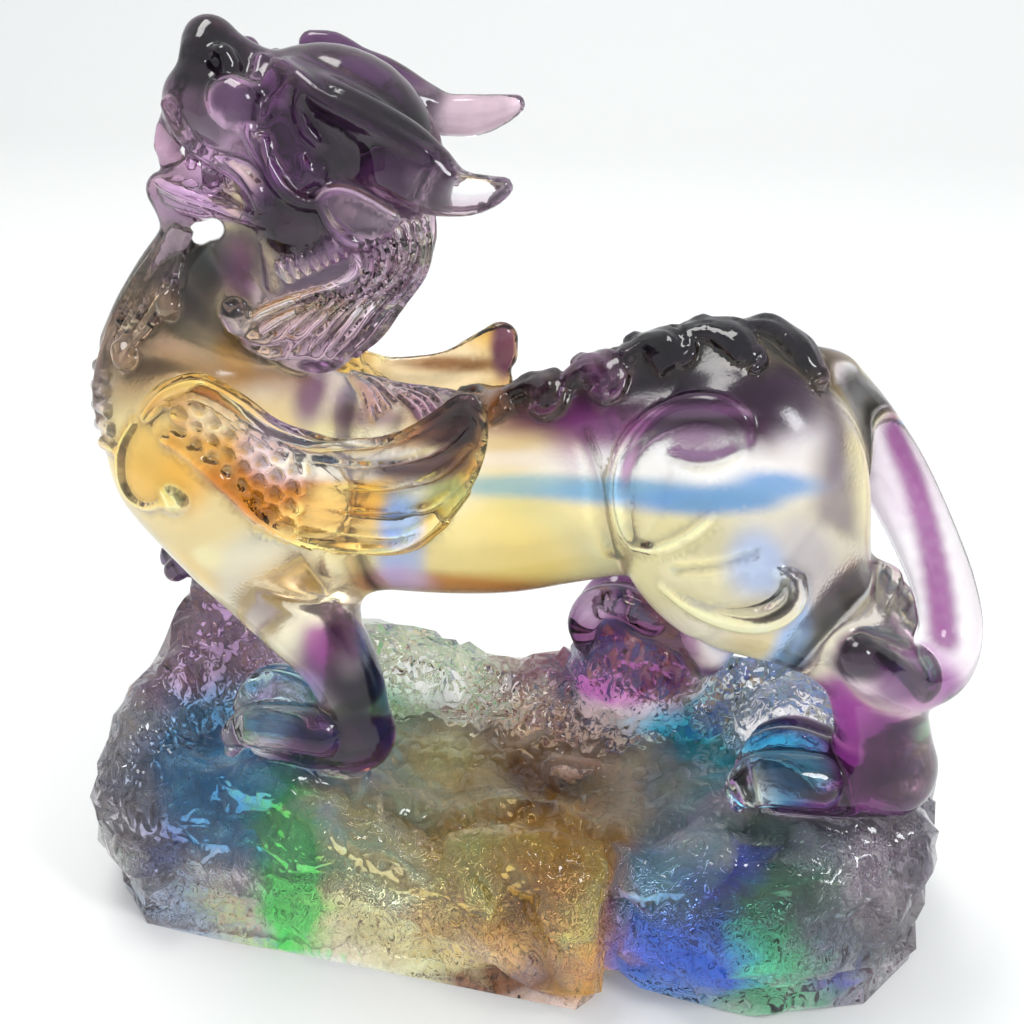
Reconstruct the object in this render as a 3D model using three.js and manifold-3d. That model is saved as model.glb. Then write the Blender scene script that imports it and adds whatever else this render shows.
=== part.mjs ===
// Cast-glass winged lion standing on a rock, one solid block of glass.
// Millimetres, +Z up. The animal faces -X with its head raised and its tail toward +X;
// Y = 0 is close to its mid-plane and the underside of the rock is the plane Z = 0.
import * as THREE from 'three';
import { mergeVertices } from 'three/addons/utils/BufferGeometryUtils.js';
import Module from 'manifold-3d';

// ---- driving dimensions (mm) ------------------------------------------------
const CENTRE_X = 0.98;         // middle of the block's footprint, moved onto the origin
const CENTRE_Y = -1.47;
const ROCK_TOP = 40.0;         // general level of the rock's top above its underside
const ROCK_EDGE = 5.0;         // rounding of the rock's top edge
const ROCK_ROUGH = 2.2;        // height of the chipped relief on the rock's sides
const ROCK_LEAN = 0.26;        // inward lean of the rock's walls above the general level
const BODY_R = 24.0;           // half thickness of the barrel at the ribs
const RUMP_R = 27.5;           // half thickness at the rump
const LEG_R = 8.2;             // half thickness of a shin above its paw
const TOE_R = 4.2;             // half thickness of a toe
const TOE_PITCH = 5.8;         // spacing of the toes
const TAIL_R = 8.2;            // half thickness of the tail at its root
const HEAD_Y = -4.0;           // mid-plane of the head
const SKULL_R = 15.0;          // half thickness of the forehead dome
const HORN_R = 5.0;            // half thickness of a horn at its root
const FEATHER_R = 3.0;         // half thickness of a wing feather
const STRAND_R = 1.7;          // half thickness of a lock of mane
const MANE_LOCKS = 8;          // locks carved on each side of the mane
const TUFTS = 7;               // flame-shaped clumps along the spine
const FACETS = 9400;           // triangles of the finished solid

// ---- rounded limbs: a turned profile bent along a spine ----------------------
const V = (x, y, z) => new THREE.Vector3(x, y, z);
const wasm = await Module();
wasm.setup();

function toSolid(geometry) {
  geometry.deleteAttribute('normal');
  geometry.deleteAttribute('uv');
  const g = mergeVertices(geometry, 1e-3);
  return new wasm.Manifold(new wasm.Mesh({
    numProp: 3,
    vertProperties: new Float32Array(g.attributes.position.array),
    triVerts: new Uint32Array(g.index.array),
  }));
}

// stations are [x, y, z, radius]; flat = [direction, factor] thins the section that way
function limb(stations, { sides = 10, pitch = 7, capRings = 2, flat = null } = {}) {
  const path = new THREE.CatmullRomCurve3(stations.map((s) => V(s[0], s[1], s[2])), false, 'catmullrom', 0.5);
  const girth = new THREE.CatmullRomCurve3(stations.map((s) => V(s[3], 0, 0)), false, 'catmullrom', 0.5);
  const length = path.getLength();
  const rings = Math.max(1, Math.round(length / pitch));
  const r0 = stations[0][3];
  const r1 = stations[stations.length - 1][3];
  // profile of the turned blank: a round cap, one ring per step, a round cap
  const profile = [new THREE.Vector2(0, -1)];
  const rows = [{ u: 0, a: -r0, r: 0 }];
  for (let i = 1; i <= capRings; i++) {
    const t = (Math.PI / 2) * (i / (capRings + 1));
    profile.push(new THREE.Vector2(1, -1 + i / (capRings + 1)));
    rows.push({ u: 0, a: -r0 * Math.cos(t), r: r0 * Math.sin(t) });
  }
  for (let i = 0; i <= rings; i++) {
    profile.push(new THREE.Vector2(1, i));
    rows.push({ u: i / rings, a: 0, r: girth.getPoint(i / rings).x });
  }
  for (let i = capRings; i >= 1; i--) {
    const t = (Math.PI / 2) * (i / (capRings + 1));
    profile.push(new THREE.Vector2(1, rings + 1 - i / (capRings + 1)));
    rows.push({ u: 1, a: r1 * Math.cos(t), r: r1 * Math.sin(t) });
  }
  profile.push(new THREE.Vector2(0, rings + 1));
  rows.push({ u: 1, a: r1, r: 0 });
  const blank = new THREE.LatheGeometry(profile, sides);
  const p = blank.attributes.position;
  // frames carried along the path without twisting
  const frames = rows.map((row) => {
    const t = path.getTangent(row.u);
    return { c: path.getPoint(row.u).addScaledVector(t, row.a), t };
  });
  let n = Math.abs(frames[0].t.z) < 0.9 ? V(0, 0, 1) : V(1, 0, 0);
  for (const f of frames) {
    n = n.clone().addScaledVector(f.t, -n.dot(f.t)).normalize();
    f.n = n;
    f.b = f.t.clone().cross(n);
  }
  const rowsCount = rows.length;
  const d = flat ? V(...flat[0]).normalize() : null;
  const out = V(0, 0, 0);
  for (let i = 0; i < p.count; i++) {
    const k = i % rowsCount;
    const s = Math.floor(i / rowsCount) % sides;
    const a = (2 * Math.PI * s) / sides;
    const f = frames[k];
    const r = rows[k].r;
    out.set(0, 0, 0).addScaledVector(f.n, r * Math.cos(a)).addScaledVector(f.b, r * Math.sin(a));
    if (d) out.addScaledVector(d, (1 / flat[1] - 1) * out.dot(d));
    out.add(f.c);
    p.setXYZ(i, out.x, out.y, out.z);
  }
  const solid = toSolid(blank);
  return solid.volume() < 0 ? solid.mirror([0, 0, 0]) : solid;
}

function ball(c, r, w = 14, h = 10) {
  const g = new THREE.SphereGeometry(1, w, h);
  g.scale(r[0], r[1], r[2]);
  g.rotateX(Math.PI / 2);
  return toSolid(g.translate(c[0], c[1], c[2]));
}

const acrossBody = (s) => s.map(([x, y, z, r]) => [x, -y, z, r]);
const acrossHead = (s) => s.map(([x, y, z, r]) => [x, 2 * HEAD_Y - y, z, r]);

const parts = [];
const add = (stations, options) => parts.push(limb(stations, options));
const addBoth = (stations, options = {}) => {
  add(stations, options);
  const flat = options.flat ? [[options.flat[0][0], -options.flat[0][1], options.flat[0][2]], options.flat[1]] : null;
  add(acrossBody(stations), { ...options, flat });
};
const addHeadPair = (stations, options) => { add(stations, options); add(acrossHead(stations), options); };

// ---- barrel, neck and chest ---------------------------------------------------
const big = { sides: 20, pitch: 9, capRings: 4 };
add([[-62, 0, 122, BODY_R], [-48, 0, 117, BODY_R + 0.5], [-28, 0, 113.5, BODY_R - 0.5], [-5, 0, 113.5, BODY_R - 1],
  [12, 0, 117, BODY_R - 1.5], [30, 0, 123.5, BODY_R + 0.5], [50, 0, 125.5, RUMP_R]], big);
add([[-70.9, 0, 137.4, 22.5], [-68.1, -1, 147.5, 18.5], [-60.1, -3, 158.7, 14.5], [-51.6, -4, 169.1, 13.5],
  [-45.5, -4, 179.8, 14]], { sides: 16, pitch: 9, capRings: 3 });
add([[-81.2, 0, 126.2, 15.5], [-82.6, 0, 133.7, 13.2], [-79.6, -1, 142.2, 11]], { sides: 14, pitch: 8, capRings: 3 });
for (const s of [-1, 1]) {
  parts.push(ball([-70.3, 15 * s, 129], [16.8, 20.5, 13.4]));   // shoulder
  parts.push(ball([50, 9 * s, 121], [28.4, 31.4, 20.4], 18, 12)); // haunch
}

// ---- legs and paws ------------------------------------------------------------
const leg = { sides: 12, pitch: 10, capRings: 2 };
add([[-63.7, -16, 123.8, 18.4], [-59.2, -18, 112.6, 16.6], [-51.6, -20, 100.8, 13.6], [-45.2, -21, 90.5, 11], [-38.6, -22, 80.8, 9.2],
  [-35.2, -22, 69.8, LEG_R], [-34.9, -22, 60.2, LEG_R]], leg);
add([[53.7, -18, 110, 19.4], [64.9, -20, 102.1, 15], [74.6, -20, 94.7, 12.4], [81.3, -20, 85.8, 10.8], [85.6, -20, 73.5, 10.2],
  [88.1, -20, 61.6, 11.2]], leg);
add([[54.4, 15, 95.9, 17], [53.8, 18, 81.3, 12.2], [50.7, 20, 70.3, 8.8], [47.1, 20, 63.2, LEG_R]], leg);
add([[-62, 16, 114, 17], [-53, 18, 102, 11.8], [-57, 20, 92, 9.7], [-70, 20, 87, 8], [-80, 20, 83, 7]], leg);
add([[80.5, -17, 101.4, 8.8], [85.3, -18, 97.8, 5.2]], { sides: 8, pitch: 8 });   // near hock
add([[-34.4, -22, 58.2, LEG_R + 0.6], [-44.2, -22, 58.4, LEG_R + 0.4], [-54.8, -22, 58.9, LEG_R]], { ...leg, sides: 10 });
add([[88.5, -20, 58.8, 11], [77.8, -21, 55.6, 8.8], [66.3, -22, 55.9, 8.4]], leg);
add([[47.2, 20, 62.6, LEG_R - 0.6], [35.4, 20, 62.9, LEG_R - 0.4], [26.2, 20, 64, 7.2]], { ...leg, sides: 10 });
// toes: a curled row in front of each paw
function toes(x, y, z, size, count = 3) {
  for (let i = 0; i < count; i++) {
    const o = (i - (count - 1) / 2) * TOE_PITCH * size;
    const r = TOE_R * size;
    add([[x, y + o * 0.8, z + 2, r], [x - 8 * size, y + o, z + 1.6, r * 1.05], [x - 13 * size, y + o, z - 2.4 * size, r * 0.8],
      [x - 14.5 * size, y + o, z - 6 * size, r * 0.42]], { sides: 8, pitch: 5.5, capRings: 1 });
  }
}
toes(-51, -22, 59.5, 1.0);
toes(68.5, -22, 55.6, 1.08);
toes(29.5, 20, 63.4, 0.95);
toes(-80.5, 20, 82.2, 0.9);

// ---- tail: out from the rump, down, and curled forward across the near shin -------
add([[67.7, 0, 143.2, TAIL_R], [75.8, 2, 134.4, TAIL_R - 0.2], [85.1, 3, 122.4, TAIL_R - 0.6], [93.3, 2, 108.9, 7.2], [98.9, -2, 97.7, 7],
  [100.7, -8, 89, 7], [97, -16, 84.4, 7], [87.9, -25, 86.4, 6.7], [79.6, -32, 93.9, 5.8], [75.8, -34, 97.6, 4.8]],
{ sides: 12, pitch: 6.2, capRings: 2 });

// ---- head ----------------------------------------------------------------------
const mid = { sides: 12, pitch: 8, capRings: 3 };
const small = { sides: 8, pitch: 6, capRings: 2 };
add([[-41.9, HEAD_Y, 202.1, 9.5], [-36, HEAD_Y, 199.8, 13], [-29.1, HEAD_Y, 195.5, SKULL_R], [-23.2, HEAD_Y, 191.4, 13.5],
  [-21.3, HEAD_Y, 188.5, 12]], { ...mid, sides: 16 });
add([[-42.8, HEAD_Y, 190.9, 12], [-37.2, HEAD_Y, 183.1, 14], [-31.2, HEAD_Y, 178.2, 13]], mid);
add([[-41.8, HEAD_Y, 202.9, 9], [-48.3, HEAD_Y, 203.9, 8.6], [-53.7, HEAD_Y, 206.8, 7.4], [-58.3, HEAD_Y, 209.7, 6.2]], mid);
addHeadPair([[-59.5, HEAD_Y, 209.9, 5.6], [-59.8, -7.5, 208.6, 4.6], [-57.1, -9, 206.4, 4.2]], small);
addHeadPair([[-60, -9.5, 200.9, 7.6], [-54.6, -11, 199.1, 7.6], [-48.5, -12, 196.4, 8.5]], mid);
add([[-49.1, HEAD_Y, 190.8, 11], [-56, HEAD_Y, 195, 9], [-62, HEAD_Y, 198, 8]], mid);
addHeadPair([[-40.5, -15.5, 193.4, 8.2], [-41.3, -17, 186.1, 7.4], [-41.5, -18.6, 180.1, 5.6]], { sides: 10, pitch: 7, capRings: 2 });
addHeadPair([[-43, -10, 197, 8], [-32, -9.5, 193.6, 11.2], [-21, -9.5, 187.5, 10]], { sides: 12, pitch: 8, capRings: 3 });   // temples
add([[-40.5, -15, 204.4, 3.2], [-35, -16.6, 202, 3.8], [-27, -17.8, 198.2, 4.2], [-19.5, -18.6, 193.6, 4.8], [-14.1, -19.4, 189.6, 4.8]], small);
add([[-43.5, 11, 208.8, 3.4], [-39.6, 12, 208.8, 3.8], [-34.4, 12, 206.5, 4.3], [-28.2, 12, 203.9, 5], [-20, 13, 199.1, 5.2]], small);
// horns sweep back from the ends of the brow ridges
const horn = { sides: 10, pitch: 5, capRings: 2 };
add([[-20, -19, 190.4, HORN_R + 0.4], [-13.2, -20, 187, HORN_R - 0.2], [-5.9, -20.5, 186.5, 4.2], [-1.2, -21, 187.3, 3], [0.9, -21, 188.1, 2]], horn);
add([[-24.1, 12, 199.2, HORN_R + 0.6], [-16.9, 13, 196.3, HORN_R], [-9.6, 14, 195.7, 4.4], [-3.8, 15, 196.9, 3.1], [-1, 15, 197.9, 2]], horn);
// open lower jaw: two rails meeting at the chin, with a floor between them
addHeadPair([[-45.8, -13, 179.6, 5.6], [-54, -12.4, 180.2, 3.6], [-61.7, -11.4, 181.6, 3.2], [-68, -9.2, 182.4, 3.4], [-72.6, HEAD_Y, 182.6, 3.6]], small);
add([[-66, HEAD_Y, 176.8, 5.4], [-69.4, HEAD_Y, 178.4, 5]], small);   // chin
add([[-55, HEAD_Y, 184, 3.6], [-64, HEAD_Y, 187, 3.8], [-70.5, HEAD_Y, 191, 3.4]], { sides: 8, pitch: 6, capRings: 2 });   // tongue
add([[-50.8, HEAD_Y, 178.2, 7], [-58.8, HEAD_Y, 179.3, 5.6], [-67.4, HEAD_Y, 179.9, 4.6]], mid);
// fangs and curled upper lip
addHeadPair([[-60.5, -10.4, 194.5, 2.3], [-60.2, -10.8, 189.5, 1.9], [-60.8, -10.6, 183.5, 1.1]], { sides: 6, pitch: 5, capRings: 1 });
addHeadPair([[-65.6, -11.6, 200, 1.6], [-63, -14.6, 194, 1.8], [-55.5, -16, 190.5, 1.9], [-49, -17.5, 186.5, 2], [-46.5, -18, 182, 1.8]],
  { sides: 6, pitch: 6, capRings: 1 });
// ears: flattened leaves below the horns
addHeadPair([[-35, -21, 183.5, 2.4], [-29.8, -22.4, 183.2, 4.4], [-23.6, -23.4, 181.8, 3.8], [-19.4, -24, 180.6, 1.4]],
  { sides: 8, pitch: 5, capRings: 1, flat: [[0.1, 1, 0.2], 1.8] });

// ---- mane and beard ---------------------------------------------------------------
add([[-25, HEAD_Y, 183.4, 11], [-26.2, HEAD_Y, 175.6, 12], [-30.1, HEAD_Y, 167.1, 12.5], [-36.7, HEAD_Y, 158.8, 12], [-41.6, HEAD_Y, 151.9, 9.5]], mid);
add([[-37.5, HEAD_Y, 178, 16], [-40.3, HEAD_Y, 169.5, 16], [-45.4, HEAD_Y, 160.7, 14]], { ...mid, sides: 14 });
for (let i = 0; i < MANE_LOCKS; i++) {
  const t = i / (MANE_LOCKS - 1);
  const wrap = 16.2 * Math.cos(t * 1.25);
  addHeadPair([[-33 + 18 * t, HEAD_Y - wrap * 0.98, 177 + 3 * t, STRAND_R], [-34 + 18 * t, HEAD_Y - wrap, 168 + 1.5 * t, STRAND_R * 1.15],
    [-41 + 16 * t, HEAD_Y - wrap * 0.94, 160.5 - 2 * t, STRAND_R], [-50 + 14 * t, HEAD_Y - wrap * 0.8, 155.5 - 6 * t, STRAND_R * 0.8]],
  { sides: 5, pitch: 8, capRings: 1 });
}
add([[-69, -5, 176.7, 4.2], [-70.3, -5, 172, 4.6], [-75.1, -4, 164, 6.2], [-80.6, -3, 155.2, 7.2], [-84.8, -2, 147.1, 8]], { sides: 10, pitch: 8, capRings: 2 });
for (let i = 0; i < 3; i++) {
  const y = -9.5 + 6 * i;
  add([[-69.6, -5 + (y + 4) * 0.35, 174, 2.2], [-75.4, y * 0.8 - 1, 164, 2.4], [-83 - 2 * Math.cos(i - 1), y, 154, 2.2], [-87 + 2.4 * (2 - i), y - 1, 143 - 2 * i, 1.8]],
    { sides: 6, pitch: 8, capRings: 1 });
}

// ---- wings: a scaled shoulder plate and five long feathers on each side -------------
addBoth([[-63.8, -24, 139, 6], [-56.1, -25, 135.3, 7.5], [-48.5, -26, 129.7, 9], [-41, -26, 124.5, 10]],
  { sides: 12, pitch: 9, capRings: 2, flat: [[0.1, 1, 0.15], 2] });
addBoth([[-73.3, -25, 140.1, 2.4], [-67.8, -25, 145.5, 2.6], [-61.2, -26, 147.5, 2.8], [-53.8, -27, 144.1, 2.8], [-46.1, -28, 139.3, 2.6], [-38, -28, 136.2, 2.6]],
  { sides: 6, pitch: 8, capRings: 1 });
const feathers = [
  [[-40.8, -27, 135.6, 0.93], [-30, -28, 135.5, 1], [-19.4, -28.5, 136.7, 1.2], [-11.2, -28, 140.7, 1.46], [-6, -27, 144.5, 1.4]],
  [[-41.6, -26, 130.6, 0.93], [-30.6, -27, 129.8, 1.07], [-19.9, -27.5, 130.6, 1.2], [-10.5, -27, 135.2, 1.4], [-5.3, -26.5, 140.4, 1.13]],
  [[-42.9, -26, 125.4, 1], [-31.1, -26.5, 124.2, 1.07], [-20.4, -26.5, 124.1, 1.2], [-11.9, -26, 127.6, 1.4], [-5.9, -26, 133.9, 1]],
  [[-44.2, -26, 120.1, 1], [-32.7, -26, 118.6, 1.07], [-21.9, -26, 118.1, 1.2], [-14.3, -25.5, 120.7, 1.33], [-8.2, -25.5, 126.7, 0.93]],
  [[-46.5, -25, 115, 0.93], [-35.5, -25, 113, 1], [-25.6, -25, 112.5, 1], [-19, -25, 114.4, 1.07], [-13.2, -25, 119.1, 0.87]],
];
for (const f of feathers) {
  addBoth(f.map(([x, y, z, k]) => [x, y, z, k * FEATHER_R]), { sides: 8, pitch: 7.5, capRings: 1 });
}
// overlapping scales on the plate, in rows of falling size
for (let row = 0; row < 3; row++) {
  for (let i = 0; i < 4; i++) {
    const c = [-66 + 5.6 * i + 2.6 * row, -28.4 - 0.35 * i, 140.5 - 3.4 * i - 4.6 * row];
    const r = 3.3 - 0.2 * row;
    for (const s of [1, -1]) parts.push(ball([c[0], c[1] * s, c[2]], [r, r, 1.5], 8, 6));
  }
}

// ---- haunch spiral, a raised comma that follows the rounded thigh --------------------
const onHaunch = (x, z, s) => {
  const q = 1 - ((x - 50) / 28) ** 2 - ((z - 121) / 31) ** 2;
  return s * (9 + 20 * Math.sqrt(Math.max(q, 0.02)));
};
for (const s of [-1, 1]) {
  const turn = [];
  for (let i = 0; i <= 9; i++) {
    const a = 0.35 + i * 0.52;
    const r = 19.5 - 0.95 * i;
    const x = 46 + r * 0.8 * Math.cos(a);
    const z = 126 + r * Math.sin(a);
    turn.push([x, onHaunch(x, z, s), z, 1.9 - 0.05 * i]);
  }
  add(turn, { sides: 6, pitch: 6.5, capRings: 1 });
  add([[30, onHaunch(30, 108, s), 108, 1.4], [40, onHaunch(40, 100, s), 100, 2.2], [54, onHaunch(54, 97, s), 97, 2.2],
    [63, onHaunch(63, 101, s), 101, 1.6]], { sides: 6, pitch: 7, capRings: 1 });
}

// ---- flame-shaped tufts along the spine, hooked back toward the tail ------------------
const ridge = new THREE.CatmullRomCurve3([V(-28, 0, 137), V(-5, 0, 136.6), V(12, 0, 140), V(30, 0, 148.5), V(48, 0, 153.4), V(64, 0, 150), V(74, 0, 141)]);
for (let i = 0; i < TUFTS; i++) {
  const u = (i + 0.2) / TUFTS;
  const c = ridge.getPointAt(u);
  const t = ridge.getTangentAt(u);
  const n = V(-t.z, 0, t.x);
  const size = 1 + 0.16 * Math.sin(i * 1.7);
  for (const s of [-1, 0, 1]) {
    const at = (along, up, side, r) => [c.x + t.x * along * size + n.x * up, s * side, c.z + t.z * along * size + n.z * up - 0.12 * side * Math.abs(s), r * size];
    add([at(-4, -3.2, 2, 2.8), at(2.5, -0.6, 5.4, 3.1), at(8.5, -0.6 + (s === 0 ? 0.8 : 0), 8.2, 2.6), at(13, 0.4 + (s === 0 ? 0.8 : 0), 9.6, 1.6)],
      { sides: 6, pitch: 6.5, capRings: 1 });
  }
}

// ---- rock: a chipped block with an uneven top --------------------------------------------
const outline = [[-90.5, -33], [22, -46], [29, -36], [62, -43], [89, -36], [103, -20], [107, 2], [100, 24], [82, 37], [48, 42],
  [0, 40], [-48, 41], [-82, 39], [-101, 24], [-106, 0], [-103, -20]];
const bumps = [ // x, y, height, spread in x, spread in y
  [-85, 20, 35, 13, 14], [-94, -6, 14, 14, 16], [-60, 30, 14, 26, 14], [-50, -24, 7.5, 22, 15], [-30, 30, 9, 26, 14], [34, 22, 15, 20, 12],
  [18, 36, 9, 14, 9], [66, 34, 13, 16, 9], [80, 20, 7, 15, 10], [76, -20, 5, 26, 16], [104, 0, -3, 14, 22], [-82, -24, 2, 14, 12], [6, -40, 5, 20, 9],
  [14, 2, -3, 20, 16], [-46, -22, 8, 17, 9], [76, -20, 7, 19, 9],
];
const rockTop = (x, y) => bumps.reduce((h, [a, b, c, p, q]) => h + c * Math.exp(-(((x - a) / p) ** 2) - (((y - b) / q) ** 2)), ROCK_TOP);
const chip = (x, y, z) => Math.sin(x * 0.31 + 1.3 * Math.sin(z * 0.21)) * Math.sin(y * 0.37 + z * 0.17) + 0.6 * Math.sin(x * 0.13 - z * 0.33 + y * 0.2);
// distance from the middle of the block to the outline in a given direction
function reach(ux, uy) {
  let best = 0;
  for (let i = 0; i < outline.length; i++) {
    const [ax, ay] = outline[i];
    const [bx, by] = outline[(i + 1) % outline.length];
    const den = ux * (by - ay) - uy * (bx - ax);
    if (Math.abs(den) < 1e-9) continue;
    const t = (ax * (by - ay) - ay * (bx - ax)) / den;
    const w = (ax * uy - ay * ux) / den;
    if (t > 0 && w >= -1e-6 && w <= 1 + 1e-6) best = Math.max(best, t);
  }
  return best;
}
const rock = new THREE.BoxGeometry(2, 2, 1, 22, 10, 5);
{
  const p = rock.attributes.position;
  for (let i = 0; i < p.count; i++) {
    const a = p.getX(i);
    const b = p.getY(i);
    const h = p.getZ(i) + 0.5;
    const m = Math.max(Math.abs(a), Math.abs(b));
    let x = 0;
    let y = 0;
    if (m > 1e-6) {
      // direction spread so that the long sides get as many steps as they need
      const dx = a * 105;
      const dy = b * 42;
      const l = Math.hypot(dx, dy);
      const full = reach(dx / l, dy / l);
      const rimHeight = h * rockTop((dx / l) * (full - 6), (dy / l) * (full - 6));
      const lean = ROCK_LEAN * Math.max(0, rimHeight - 36);
      const rim = m > 0.999 ? ROCK_EDGE * Math.max(0, (h - 0.75) * 4) ** 2 : 0;
      let r = (full - lean) * m - rim;
      x = (dx / l) * r;
      y = (dy / l) * r;
      if (m > 0.999 && h > 0.05) {
        const frontCut = y < -30 && x < 24 ? 0.35 : 1;      // the sawn front face stays flatter
        r += ROCK_ROUGH * frontCut * chip(x, y, h * ROCK_TOP);
        x = (dx / l) * r;
        y = (dy / l) * r;
      }
    }
    const top = rockTop(x, y) - (m > 0.999 ? 1.6 : 0) + (m < 0.999 ? 0.5 * chip(x * 1.7, y * 1.7, 3) : 0);
    p.setXYZ(i, x, y, h * top);
  }
}
parts.push(toSolid(rock));

// ---- one casting --------------------------------------------------------------------------
const casting = wasm.Manifold.union(parts).translate([-CENTRE_X, -CENTRE_Y, 0]);
const body = casting.getMesh();

// Shells inside the glass, left where limbs bulge against each other, are filled in.
function outerShell(positions, triangles) {
  const parent = Array.from({ length: positions.length / 3 }, (_, i) => i);
  const root = (i) => { while (parent[i] !== i) { parent[i] = parent[parent[i]]; i = parent[i]; } return i; };
  for (let i = 0; i < triangles.length; i += 3) {
    parent[root(triangles[i])] = root(triangles[i + 1]);
    parent[root(triangles[i + 1])] = root(triangles[i + 2]);
  }
  const counts = new Map();
  for (let i = 0; i < triangles.length; i += 3) {
    const r = root(triangles[i]);
    counts.set(r, (counts.get(r) || 0) + 1);
  }
  const keep = [...counts.entries()].sort((p, q) => q[1] - p[1])[0][0];
  const out = [];
  for (let i = 0; i < triangles.length; i += 3) if (root(triangles[i]) === keep) out.push(triangles[i], triangles[i + 1], triangles[i + 2]);
  return out;
}

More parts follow.
